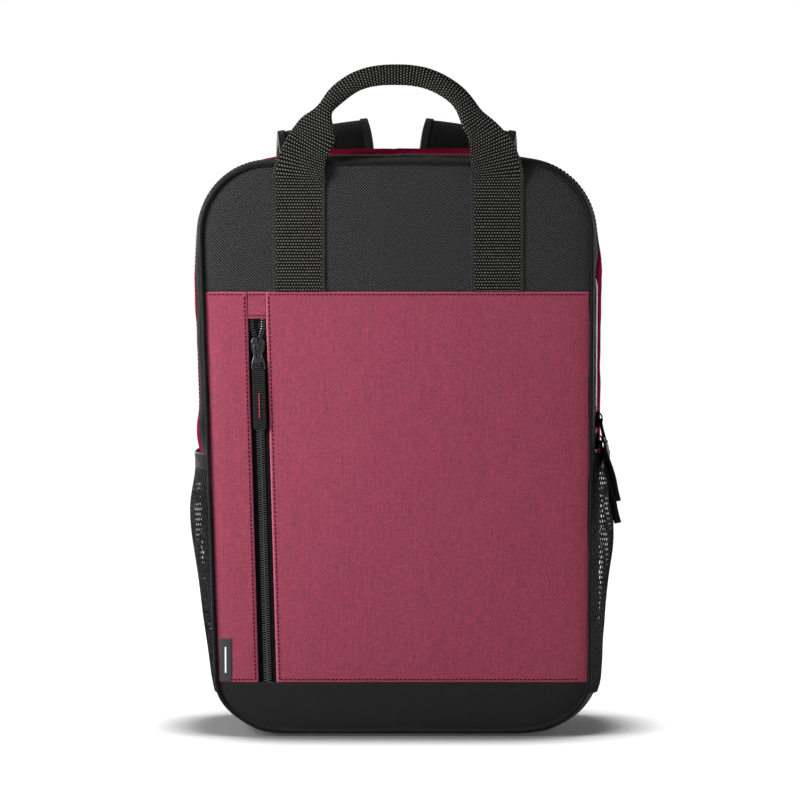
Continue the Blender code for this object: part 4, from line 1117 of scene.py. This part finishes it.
def slider_shape(name, matrix, body, node, metal):
    """A size 5 slider: shield-shaped top plate with flanges, a lower plate and an arched bridge."""
    shield = [
        (-0.0030, 0.0060), (0.0030, 0.0060), (0.0047, 0.0030), (0.0044, -0.0020),
        (0.0034, -0.0060), (-0.0034, -0.0060), (-0.0044, -0.0020), (-0.0047, 0.0030),
    ]  # fmt: skip
    shield = rounded(shield, 0.0022)
    top = plate(name + "_body", [shield], 0.0011, 0.0004, metal, matrix @ Matrix.Translation((0, -0.0028, 0)))
    settle(top, body, "gunmetal", node)
    narrow = [(x * 0.82, z) for x, z in shield]
    low = plate(name + "_under", [narrow], 0.0007, 0.0002, metal, matrix @ Matrix.Translation((0, 0.0015, 0)))
    settle(low, body, "gunmetal")
    across, inwards = np.array(matrix.col[0].xyz), np.array(matrix.col[1].xyz)
    for side, tag in SIDES:
        path = placed(matrix, side * np.array([0.0046, 0.0044, 0.0035]), -0.0024, [0.0028, -0.0018, -0.0056])
        edge = tube(f"{name}_flange_{tag}", path, -inwards, 0.00065, metal, sides=8)
        settle(edge, body, "gunmetal")
    turn = np.linspace(0, np.pi, 17)
    path = placed(matrix, 0, -0.0026 - 0.0036 * np.sin(turn).clip(0) ** 0.55, 0.0046 * np.cos(turn))
    bridge = strap(name + "_bridge", path, across, 0.0022, 0.0009, metal, power=4.0, step=0.0004, cells=8)
    settle(bridge, body, "gunmetal")


def pull_shape(name, matrix, lean, body, node, metal):
    """The metal pull: a frame that widens downwards, open round the bridge, with a slot for its tab."""
    outer = [
        (-0.0026, 0.0008), (0.0026, 0.0008), (0.0033, -0.0004), (0.0034, -0.0085), (0.0046, -0.0120),
        (0.0053, -0.0180), (-0.0053, -0.0180), (-0.0046, -0.0120), (-0.0034, -0.0085), (-0.0033, -0.0004),
    ]  # fmt: skip
    hole = rounded(box_loop(-0.0017, 0.0017, -0.0090, -0.0007), 0.0008)
    slot = rounded([(-0.0032, -0.0128), (0.0032, -0.0128), (0.0039, -0.0165), (-0.0039, -0.0165)], 0.0006)
    bar = matrix @ Matrix.Translation((0, -PULL_AXIS, 0)) @ Matrix.Rotation(math.radians(-lean), 4, "X")
    obj = plate(name + "_frame", [rounded(outer, 0.0012), hole[::-1], slot[::-1]], 0.0013, 0.0004, metal, bar)
    settle(obj, body, "gunmetal", node)
    return bar


def tab_shape(name, bar, bow, body, node, stitch, twist):
    """A doubled webbing tab hanging from the pull's slot, with a little bow in it."""
    across, inwards = np.array(bar.col[0].xyz), np.array(bar.col[1].xyz)

    def hanging(t, lift=0.0):
        return placed(bar, 0, bow * np.sin(np.pi * 0.5 * t) ** 2 + lift, -0.0162 - 0.0448 * t)

    def ribs(u, v):
        return 0.00014 * (0.5 + 0.5 * np.sin(math.tau * v / 0.0013))

    t = np.linspace(0, 1, 60)
    path = hanging(t, 0.00025 * ripple(t, 0, 0.2, 70))
    turn = math.radians(twist) * smooth((t - 0.1) / 0.6)[:, None]
    side = np.cos(turn) * across + np.sin(turn) * inwards
    width, thick = 0.0078 + 0.0022 * smooth(t / 0.08), 0.0011 + 0.0012 * smooth((t - 0.02) / 0.06)
    tab = strap(name + "_cloth", path, side, width, thick, TAB_WEBBING, 9.0, 0.00045, ribs, 20)
    settle(tab, body, "webbing", node)
    share = np.linspace(0, 1, 13)
    wrap = placed(bar, 0, -0.0001 - 0.0013 * np.sin(np.pi * share), -0.0150 - 0.0035 * share)
    band = strap(name + "_loop", wrap, across, 0.0066, 0.0008, TAB_WEBBING, 8.0, 0.0004, cells=14)
    settle(band, body, "webbing")
    if stitch:
        row = hanging(t[(t > 0.40) & (t < 0.86)], -0.0014)
        look = dict(pitch=0.0020, length=0.0022, radius=0.0005)
        stitch_row([row], [-inwards], name + "_stitching", THREAD_BRIGHT, body, "webbing", **look)


def make_sliders():
    for name, slide, way, lean, bow, stitch, twist in (
        ("pocket", "pocket_zip_slide", -1, 0.0, -0.0006, True, 0),
        ("main_lower", "main_zip_lower_slide", 1, 15.0, 0.0022, False, 30),
        ("main_upper", "main_zip_upper_slide", 1, 13.0, 0.0012, False, 42),
    ):
        pull = "main_lower_pull_swing" if name == "main_lower" else f"{name}_pull_swing"
        matrix = zip_frame(pull, slide, way)
        metal = METAL if name == "pocket" else MAIN_METAL
        slider_shape(name + "_slider", matrix, name + "_slider", name + "_slider", metal)
        bar = pull_shape(name + "_pull", matrix, lean, name + "_pull", name + "_pull", metal)
        tab_shape(name + "_pull_tab", bar, bow, name + "_pull", name + "_pull_tab", stitch, twist)


# ---------------------------------------------------------------- side pockets
def stand_off(side, y, z):
    """How far the net hangs off the wall: sewn down in front and behind, fullest in its belly."""
    wanted = NET_RIGHT if side > 0 else NET_LEFT
    reach = np.mean([np.interp(z + shift, NET_HEIGHTS, wanted) for shift in np.linspace(-0.008, 0.008, 5)], 0)
    gap = np.maximum(reach - bulge(side * 0.14, 0.0, z), 0.0012)
    return 0.0006 + gap * (1 - (y / MESH_EDGE_Y) ** 2)


def pocket_point(side, s, y, extra=0.0):
    """A point on the side pocket, or extra outside it."""
    z = rim(s)[1]
    slack = 0.0009 * ripple(s, y, 0.028, 80 + side) * (1 - (y / MESH_EDGE_Y) ** 2)
    return gusset(s, y, stand_off(side, y, z) + slack + extra)


def make_side_pocket(side, name):
    edge_y = MESH_EDGE_Y
    low, high = sorted((rim_s(side, MESH_FOOT), rim_s(side, MESH_TOP - 0.008)))
    rows, cols = int((high - low) / NET_CELL[1]), int(2 * edge_y / NET_CELL[0])
    pitch_s, pitch_y = (high - low) / rows, 2 * edge_y / cols
    starts, ends = [], []
    for j in range(rows):
        for i in range(cols + 1):
            here = -edge_y + pitch_y * (i + 0.5 * (j % 2))
            for shift in (-0.5, 0.5):
                there = here + pitch_y * shift
                if abs(here) <= edge_y + 1e-6 and abs(there) <= edge_y + 1e-6:
                    starts.append((low + pitch_s * j, here))
                    ends.append((low + pitch_s * (j + 1), there))
    starts, ends = np.array(starts), np.array(ends)
    a, b = pocket_point(side, *starts.T), pocket_point(side, *ends.T)
    out = gusset_out((starts[:, 0] + ends[:, 0]) / 2, (starts[:, 1] + ends[:, 1]) / 2)
    along = b - a
    wide = unit(np.cross(out, along)) * NET_STRAND[0]
    deep = unit(np.cross(along, wide)) * NET_STRAND[1]
    axes = np.stack([wide, deep, along * 1.06], 1)
    bar = [(u, v, w) for w in (-0.5, 0.5) for u, v in ((-1, -1), (1, -1), (1, 1), (-1, 1))]
    sides = [grid_faces(2, 4, wrap=True), np.array([[3, 2, 1, 0], [4, 5, 6, 7]])]
    net = stamp(f"side_pocket_net_{name}", bar, sides, (a + b) / 2, axes, NET)
    s, y = np.meshgrid(np.linspace(low, high, 60), np.linspace(-edge_y, edge_y, 40), indexing="ij")
    declare(pocket_point(side, s, y))
    settle(net, "pack", "mesh_fabric", f"mesh_pocket_{name}")

    # the elastic hem, a doubled band with small gathers
    start, end = sorted((rim_s(side, MESH_TOP), rim_s(side, MESH_TOP - BINDING_HEIGHT)))
    s = start + stops(end - start, 0.0007, (0.0003, 0.0008))
    y = -edge_y + stops(2 * edge_y, 0.0008, (0.0004,))
    s, y = np.meshgrid(s, y, indexing="ij")
    near = np.minimum(s - start, end - s)
    ribs = 0.00018 * np.sin(math.tau * y / 0.0024) * smooth(near / 0.002)
    grid = pocket_point(side, s, y, 0.0005 + ribs - fold_roll(near, 0.0006, 0.0012))
    hem = sheet(f"pocket_hem_{name}", grid, joined(s, y), 0.0015, ELASTIC, gusset_out(s, y))
    declare(grid)
    settle(hem, "pack", "webbing", f"pocket_binding_{name}")


# ---------------------------------------------------------------- carry handle
def make_handle():
    leg_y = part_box("handle_leg_left")[0].y + 0.0008
    leg_low = SEAM_POCKET_Z + 0.0004
    sewn = ((leg_y, leg_low), (leg_y, leg_low + 0.030), (leg_y, 0.3960), (leg_y - 0.0002, 0.4015))

    def leg(x):
        return [(x, y, z, HANDLE_WEBBING, 0.0015, 24) for y, z in (*sewn, (-0.0625, 0.4045))]

    # x, y, z, width, thickness and roundness from the foot of each leg to the middle of the grip
    left = leg(0.0705) + [
        (0.0704, -0.0648, 0.4075, HANDLE_WEBBING, 0.0015, 24),
        (0.0701, -0.0658, 0.4110, 0.0380, 0.0016, 24), (0.0690, -0.0660, 0.4160, 0.0358, 0.0018, 20),
        (0.0652, -0.0658, 0.4263, 0.0320, 0.0024, 12), (0.0600, -0.0654, 0.4350, 0.0325, 0.0030, 8),
        (0.0568, -0.0650, 0.4444, 0.0270, 0.0044, 5), (0.0544, -0.0648, 0.4495, 0.0175, 0.0065, 3.6),
        (0.0518, -0.0646, 0.4553, 0.0100, 0.0080, 2.8), (0.0453, -0.0644, 0.4633, 0.0136, 0.0080, 2.8),
        (0.0388, -0.0642, 0.4691, 0.0141, 0.0080, 2.8), (0.0301, -0.0640, 0.4749, 0.0141, 0.0080, 2.8),
        (0.0200, -0.0640, 0.4784, 0.0145, 0.0080, 2.8), (0.0100, -0.0640, 0.4798, 0.0148, 0.0080, 2.8),
        (0.0000, -0.0640, 0.4800, 0.0150, 0.0080, 2.8),
    ]  # fmt: skip
    right = leg(0.0730) + [
        (0.0730, -0.0648, 0.4075, HANDLE_WEBBING, 0.0015, 24),
        (0.0726, -0.0658, 0.4118, 0.0374, 0.0016, 24), (0.0709, -0.0660, 0.4190, 0.0350, 0.0018, 20),
        (0.0678, -0.0658, 0.4285, 0.0318, 0.0024, 12), (0.0627, -0.0654, 0.4386, 0.0236, 0.0036, 8),
        (0.0580, -0.0650, 0.4440, 0.0205, 0.0048, 5), (0.0547, -0.0648, 0.4482, 0.0180, 0.0062, 3.6),
        (0.0499, -0.0646, 0.4575, 0.0150, 0.0076, 2.8), (0.0448, -0.0644, 0.4642, 0.0146, 0.0080, 2.8),
        (0.0380, -0.0642, 0.4695, 0.0146, 0.0080, 2.8), (0.0294, -0.0640, 0.4745, 0.0148, 0.0080, 2.8),
        (0.0200, -0.0640, 0.4780, 0.0150, 0.0080, 2.8), (0.0100, -0.0640, 0.4797, 0.0150, 0.0080, 2.8),
    ]  # fmt: skip
    stations = np.array([(-x, *rest) for x, *rest in left] + right[::-1], float)
    run = run_along(stations[:, :3])
    dense = sample(np.linspace(0, run[-1], 500), run, stations)
    padded = np.concatenate([np.repeat(dense[:1], 14, 0), dense, np.repeat(dense[-1:], 14, 0)])
    soft = smoothed(padded, bell(14, 4.0))
    soft[[0, -1]] = dense[[0, -1]]
    path, (width, thick, power) = soft[:, :3], soft[:, 3:].T
    along = unit(np.gradient(path, axis=0))
    wide = unit(joined(along[:, 2], 0, -along[:, 0]))
    relief = woven_relief(0.0020, 0.0023, 0.00022)
    handle = strap("carry_handle", path, wide, width, thick, WEBBING, power, 0.0006, relief, 58)
    ends = ("flap", "handle", (0, -0.062, 0.398), (0, -0.062, 0.416))
    settle(handle, ends, "webbing", "handle_grip", "handle_leg_left", "handle_leg_right")
    # the fold of the grip is closed by a row of stitches along its underside
    middle = np.abs(path[:, 0]) < 0.045
    normal = np.cross(along, wide)[middle]
    normal = normal * np.sign(normal[:, 1:2])
    row = path[middle] + normal * 0.0042
    stitch_row([row], [normal], "handle_stitching", BLACK_THREAD, "handle", "webbing", pitch=0.0034)


# ---------------------------------------------------------------- padded straps, back
# x, y, z, width, thickness and roll of the right shoulder strap, as its CAD solid has them
STRAP_STATIONS = [
    (0.0525, 0.0675, 0.4160, 0.0710, 0.0045, 0), (0.0530, 0.0695, 0.4285, 0.0710, 0.0060, 3),
    (0.0548, 0.0770, 0.4405, 0.0702, 0.0080, 7), (0.0565, 0.0900, 0.4465, 0.0695, 0.0090, 9),
    (0.0570, 0.1030, 0.4410, 0.0695, 0.0090, 8), (0.0575, 0.1100, 0.4290, 0.0695, 0.0090, 6),
    (0.0590, 0.1130, 0.4040, 0.0690, 0.0090, 3), (0.0620, 0.1120, 0.3600, 0.0660, 0.0090, 3),
    (0.0670, 0.1080, 0.3000, 0.0620, 0.0090, 3), (0.0720, 0.1040, 0.2400, 0.0580, 0.0090, 3),
    (0.0760, 0.1000, 0.1900, 0.0530, 0.0085, 3), (0.0782, 0.0970, 0.1640, 0.0420, 0.0060, 2),
    (0.0784, 0.0962, 0.1586, 0.0250, 0.0032, 1),
]  # fmt: skip
LOWER_STATIONS = [
    (0.0800, 0.0950, 0.1150, 0.0250, 0.0016, 0), (0.0870, 0.0940, 0.0960, 0.0250, 0.0016, 8),
    (0.0960, 0.0860, 0.0720, 0.0250, 0.0016, 16), (0.1040, 0.0755, 0.0550, 0.0250, 0.0016, 22),
    (0.1085, 0.0700, 0.0470, 0.0250, 0.0016, 26),
]  # fmt: skip


def smooth_line(values, count, spread):
    """Stations made into a smooth dense run; spread is in samples."""
    values = np.asarray(values, float)
    run = run_along(values[:, :3])
    dense = sample(np.linspace(0, run[-1], count), run, values)
    reach = int(spread * 3)
    first = 2 * dense[:1] - dense[reach:0:-1]
    last = 2 * dense[-1:] - dense[-2 : -reach - 2 : -1]
    return smoothed(np.concatenate([first, dense, last]), bell(reach, spread))


def strap_axes(line, side):
    """Path, wide direction and thin direction of a strap's stations, mirrored for the left side."""
    path = line[:, :3] * np.array([side, 1, 1])
    roll = np.radians(line[:, 5])
    along = unit(np.gradient(path, axis=0))
    wide = square_to(along, joined(np.cos(roll), 0, -side * np.sin(roll)))
    return path, wide, np.cross(along, wide)


def inflate(name, node, material, voxel, shrink, cap):
    """A padded piece: the CAD solid shrunk, remeshed and blown up by a cloth simulation."""
    mesh = frame["nodes"][node].data.copy()
    obj = bpy.data.objects.new(name, mesh)
    bpy.context.scene.collection.objects.link(obj)
    remesh = obj.modifiers.new("skin", "REMESH")
    remesh.mode, remesh.voxel_size = "VOXEL", voxel
    obj.data = applied(obj)
    count = len(obj.data.vertices)
    rest, normal = np.zeros(count * 3), np.zeros(count * 3)
    obj.data.vertices.foreach_get("co", rest)
    obj.data.vertices.foreach_get("normal", normal)
    start = rest.reshape(-1, 3) - normal.reshape(-1, 3) * shrink
    obj.data.vertices.foreach_set("co", start.ravel())
    obj.data.update()
    cloth = obj.modifiers.new("cloth", "CLOTH")
    cloth.settings.quality = 6
    cloth.settings.use_pressure = True
    cloth.settings.uniform_pressure_force = 4.0
    cloth.settings.effector_weights.gravity = 0.0
    cloth.point_cache.frame_start, cloth.point_cache.frame_end = 1, 20
    for number in range(1, 21):
        bpy.context.scene.frame_set(number)
    blown = applied(obj)
    end = np.zeros(count * 3)
    blown.vertices.foreach_get("co", end)
    shift = end.reshape(-1, 3) - start
    far = np.linalg.norm(shift, axis=1, keepdims=True)
    final = start + shift * np.minimum(1, cap / np.maximum(far, 1e-9))
    obj.data.vertices.foreach_set("co", final.ravel())
    obj.data.update()
    bpy.data.meshes.remove(blown)
    bpy.context.scene.frame_set(1)
    relax = obj.modifiers.new("relax", "SMOOTH")
    relax.factor, relax.iterations = 0.5, 3
    finer = obj.modifiers.new("finer", "SUBSURF")
    finer.levels = finer.render_levels = 1
    obj.data = applied(obj)
    obj.data.materials.clear()
    obj.data.materials.append(material)
    obj.data.shade_smooth()
    return obj


def applied(obj):
    """The object's mesh with its modifiers applied; they are taken off it."""
    mesh = bpy.data.meshes.new_from_object(obj.evaluated_get(bpy.context.evaluated_depsgraph_get()))
    obj.modifiers.clear()
    return mesh


def make_shoulder_pad(side, name):
    body = f"strap_{name}"
    line = smooth_line(STRAP_STATIONS, 260, 5.0)
    path, wide, thin = strap_axes(line, side)
    half = line[:, 4:5] / 2
    thick = line[:, 4] * (1 + 0.05 * ripple(np.arange(260.0), 0, 23, 97 + side))
    width = line[:, 3] - 0.0006
    pad = strap(f"shoulder_pad_{name}", path, wide, width, thick, BLACK_STRAP, power=5.0, step=0.0022)
    settle(pad, body, "black_fabric", f"shoulder_strap_{name}")
    rows = []
    bound, sewn = slice(2, 250), slice(6, 246)
    for edge, tag in ((-1, "inner"), (1, "outer")):
        middle = path + wide * edge * (line[:, 3:4] / 2 - 0.0030)
        tape = strap(f"shoulder_binding_{name}_{tag}", middle[bound], wide[bound], 0.0070,
                     line[bound, 4] + 0.0008, PIPING, power=5.0, step=0.0015)
        settle(tape, body, "black_fabric")
        inner = middle - wide * edge * 0.0022
        rows += [(inner + thin * face * (half + 0.0003))[sewn] for face in (-1, 1)]
    stitch_row(rows, [thin[sewn]] * 4, f"binding_stitching_{name}", BLACK_THREAD, body, "webbing")

    # webbing sewn down the outer face of the strap, on to the ladder lock
    away = thin if thin[130] @ BACKWARDS > 0 else -thin
    span = slice(96, 252)
    over = path[span] + away[span] * (half[span] + 0.0012)
    lay = strap(f"strap_webbing_{name}", over, wide[span], 0.0250, 0.0015, NARROW_WEBBING,
                step=0.0008, relief=NARROW_RELIEF)
    settle(lay, body, "webbing")
    rows = [over + away[span] * 0.0009 + wide[span] * edge * 0.0105 for edge in (-1, 1)]
    stitch_row(rows, [away[span]] * 2, f"strap_stitching_{name}", BLACK_THREAD, body, "webbing")


def make_ladder_lock(name):
    centre = np.array(JOINTS[f"lock_tilt_{name}"]["pos_m"])
    outline = rounded(box_loop(-0.0165, 0.0165, -0.0350, 0.0025), 0.0035, 6)
    slots = [box_loop(-0.0130, 0.0130, z, z + 0.0075) for z in (-0.0105, -0.0215, -0.0320)]
    loops = [outline] + [rounded(slot, 0.0016)[::-1] for slot in slots]
    lock = plate(f"ladder_lock_body_{name}", loops, 0.0040, 0.0011, PLASTIC, Matrix.Translation(centre))
    settle(lock, f"lock_{name}", "black_plastic", f"ladder_lock_{name}")
    # the strap's webbing loops round the lock's top bar
    turn = np.linspace(-0.35, 1.25, 24) * math.pi
    ring = centre + joined(0, 0.0046 * np.cos(turn), 0.0002 - 0.0047 * np.sin(turn))
    hoop = strap(f"lock_hoop_{name}", ring, RIGHTWARDS, 0.0245, 0.0013, NARROW_WEBBING, step=0.0006)
    settle(hoop, f"strap_{name}", "webbing")


def make_lower_webbing(side, name):
    strap_body, lock_body = f"strap_{name}", f"lock_{name}"
    path, wide, _ = strap_axes(smooth_line(LOWER_STATIONS, 90, 7.0), side)
    lower = strap(f"lower_strap_{name}", path, wide, 0.0248, 0.0015, NARROW_WEBBING,
                  step=0.0008, relief=NARROW_RELIEF)
    ends = ("pack", strap_body, tuple(path[-1]), tuple(path[22]))
    settle(lower, ends, "webbing", f"lower_webbing_{name}")

    # where it is threaded through the lock: y from the lock's middle, and z
    weave = (
        (0.0000, 0.1180), (0.0022, 0.1215), (0.0034, 0.1255), (0.0036, 0.1300),
        (0.0030, 0.1345), (0.0006, 0.1385), (-0.0022, 0.1400), (-0.0040, 0.1380),
        (-0.0050, 0.1310), (-0.0052, 0.1200), (-0.0050, 0.1080),
    )  # fmt: skip
    x, y, _ = JOINTS[f"lock_tilt_{name}"]["pos_m"]
    thread = smooth_line([(x, y - 0.0005 + ahead, z) for ahead, z in weave], 60, 2.0)
    passing = strap(f"lock_webbing_{name}", thread, RIGHTWARDS, 0.0240, 0.0013, NARROW_WEBBING, step=0.0007)
    x, y, _ = thread[-1]
    settle(passing, (strap_body, lock_body, (x, y, 0.1090), (x, y, 0.1270)), "webbing")

    low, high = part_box(f"webbing_anchor_{name}")
    tab = [(side * x, z) for x, z in ((0.100, 0.052), (0.127, 0.040), (0.119, 0.024), (0.104, 0.028))]
    loop = rounded(tab if side > 0 else tab[::-1], 0.004)
    place = Matrix.Translation((0, (low.y + high.y) / 2, 0))
    anchor = plate(f"anchor_patch_{name}", [loop], 0.0030, 0.0009, BLACK_STRAP, place)
    settle(anchor, "pack", "black_fabric", f"webbing_anchor_{name}")


def make_back():
    share = shares(0.27, 0.004)
    rise = shares(0.40, 0.004)
    foot_left, foot_right = rim_corner(-1, False), rim_corner(1, False)
    head_left, head_right = rim_corner(-1, True), rim_corner(1, True)
    foot = rim_places(foot_left + (foot_right + RIM_LENGTH - foot_left) * share)
    head = rim_places(head_left + (head_right - head_left) * share)
    left = rim_places(foot_left + (head_left - foot_left) * rise)
    right = rim_places(foot_right + (head_right - foot_right) * rise)
    x, z = np.moveaxis(coons(foot, head, left, right), -1, 0)
    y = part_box("back_panel")[1].y - 0.0004 - 0.0016 * np.exp(-rim_distance(x, z) / 0.005)
    y = y + 0.00025 * ripple(x, z, 0.05, 90)
    for side in (-1, 1):
        # the cloth is drawn in round each pad, where it is sewn down
        inside = np.maximum(np.abs(x - side * PAD_X) - PAD_HALF_WIDTH, np.abs(z - PAD_Z) - PAD_HALF_HEIGHT)
        y = y - 0.0012 * np.exp(-((inside - 0.002) / 0.0035) ** 2)
    grid = joined(x, y, z)
    cloth = sheet("back_cloth", grid, joined(x, z), 0.0035, BLACK_TWILL, BACKWARDS)
    declare(grid)
    settle(cloth, "pack", "black_fabric", "back_panel")

    for side, name in SIDES:
        pad = inflate(f"air_mesh_pad_{name}", f"back_pad_{name}", AIR_MESH, 0.0040, 0.0012, 0.0034)
        settle(pad, "pack", "air_mesh", f"back_pad_{name}")
        wide, high = PAD_HALF_WIDTH + 0.0005, PAD_HALF_HEIGHT + 0.0005
        box = box_loop(side * PAD_X - wide, side * PAD_X + wide, PAD_Z - high, PAD_Z + high)
        loop = rounded(box, 0.008, 6)
        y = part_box(f"back_pad_{name}")[0].y + 0.0006
        corners = np.array([(a, y, b) for a, b in loop + loop[:1]])
        run = run_along(corners)
        path = sample(np.linspace(0, run[-1], 500)[:-1], run, corners)
        out = unit(path - path.mean(0))
        edge = tube(f"pad_binding_{name}", path, out, 0.0014, PIPING, closed=True, sides=8)
        settle(edge, "pack", "black_fabric")

    low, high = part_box("strap_yoke")
    x = low.x + 0.001 + stops(high.x - low.x - 0.002, 0.003)[None]
    z = low.z + 0.0002 + stops(high.z - low.z - 0.0004, 0.002)[:, None]
    x = x * (1 - 0.08 * (z - low.z) / (high.z - low.z))
    x, z = np.broadcast_arrays(x, z)
    near = np.minimum(z - z.min(), z.max() - z)
    y = high.y - 0.0003 - fold_roll(near, 0.0010, 0.0016) + 0.0002 * ripple(x, z, 0.02, 91)
    grid = joined(x, y, z)
    yoke = sheet("strap_yoke_cloth", grid, joined(x, z), 0.0026, BLACK_TWILL, BACKWARDS)
    declare(grid)
    settle(yoke, "pack", "black_fabric", "strap_yoke")
    rows = [grid[row] + BACKWARDS * 0.0001 for row in (2, -3)]
    stitch_row(rows, [BACKWARDS] * 2, "yoke_stitching", BLACK_THREAD, "pack", "black_fabric")


# ---------------------------------------------------------------- inside
def lining_sheet(name, node, low_z, high_z, inset, y, body, material, out, thick, quilt=0.0):
    """A padded or plain inner wall that fills the seam outline between two heights."""
    z = low_z + stops(high_z - low_z, 0.004)[:, None]
    inside = np.clip(z, RIM[2].min() + 0.0006, RIM[2].max() - 0.0006)
    left, right = rim(rim_s(-1, inside))[0] + inset, rim(rim_s(1, inside))[0] - inset
    x = left + (right - left) * shares(0.26, 0.004)
    x, z = np.broadcast_arrays(x, z)
    puff = quilt * np.abs(np.sin(math.pi * (x + z) / 0.045) * np.sin(math.pi * (x - z) / 0.045)) ** 0.5
    depth = y + out * (puff - quilt + 0.0004 * ripple(x, z, 0.04, 95))
    grid = joined(x, depth, z)
    wall = sheet(name, grid, joined(x, z), thick, material, BACKWARDS * out)
    declare(grid)
    return settle(wall, body, "black_fabric" if material is BLACK_TWILL else "lining", node)


def make_inside():
    for name, node, below_top, body in (
        ("flap_lining", "front_upper_backing", 0.0015, "flap"),
        ("pocket_back_lining", "front_lower_backing", 0.0, "pack"),
    ):
        low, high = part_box(node)
        lining_sheet(name, node, low.z, high.z - below_top, 0.0045, high.y, body, BLACK_TWILL, 1, 0.0028)
    low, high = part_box("laptop_divider")
    inset = 0.0085
    lining_sheet("laptop_divider_padding", "laptop_divider", low.z + 0.001, high.z - 0.003, inset, low.y,
                 "pack", LINING, -1, 0.0038, quilt=0.0006)
    top_z = high.z - 0.0025
    ends = rim(rim_s(-1, top_z))[0] + inset, rim(rim_s(1, top_z))[0] - inset
    path = joined(np.linspace(*ends, 160), (low.y + high.y) / 2, top_z)
    edge = tube("divider_binding", path, BACKWARDS, 0.0026, PIPING, sides=10)
    settle(edge, "pack", "black_fabric")
    # the hook-and-loop strap over the laptop, from where it is sewn on down to its free end
    places = ((0.0540, 0.3360), (0.0440, 0.3290), (0.0340, 0.3110), (0.0272, 0.3010), (0.0272, 0.2620))
    line = smooth_line([(0.0, y, z) for y, z in places], 90, 3.0)
    strip = strap("laptop_strap_webbing", line, RIGHTWARDS, 0.0378, 0.0016, WEBBING,
                  step=0.0009, relief=woven_relief(0.0020, 0.0023, 0.00016))
    settle(strip, "laptop_strap", "webbing", "laptop_strap")
    low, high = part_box("base_board")
    loop = rounded(box_loop(low.x, high.x, -high.y, -low.y), 0.006)
    turn = Matrix.Translation((0, 0, (low.z + high.z) / 2)) @ Matrix.Rotation(-math.pi / 2, 4, "X")
    board = plate("base_board_sheet", [loop], high.z - low.z, 0.0005, PLASTIC, turn)
    settle(board, "pack", "black_plastic", "base_board")


make_stage()
make_front()
make_label()
make_walls()
make_main_zip()
make_pocket_zip()
make_sliders()
for pocket_side, pocket_name in SIDES:
    make_side_pocket(pocket_side, pocket_name)
make_handle()
for strap_side, strap_name in SIDES:
    make_shoulder_pad(strap_side, strap_name)
    make_ladder_lock(strap_name)
    make_lower_webbing(strap_side, strap_name)
make_back()
make_inside()
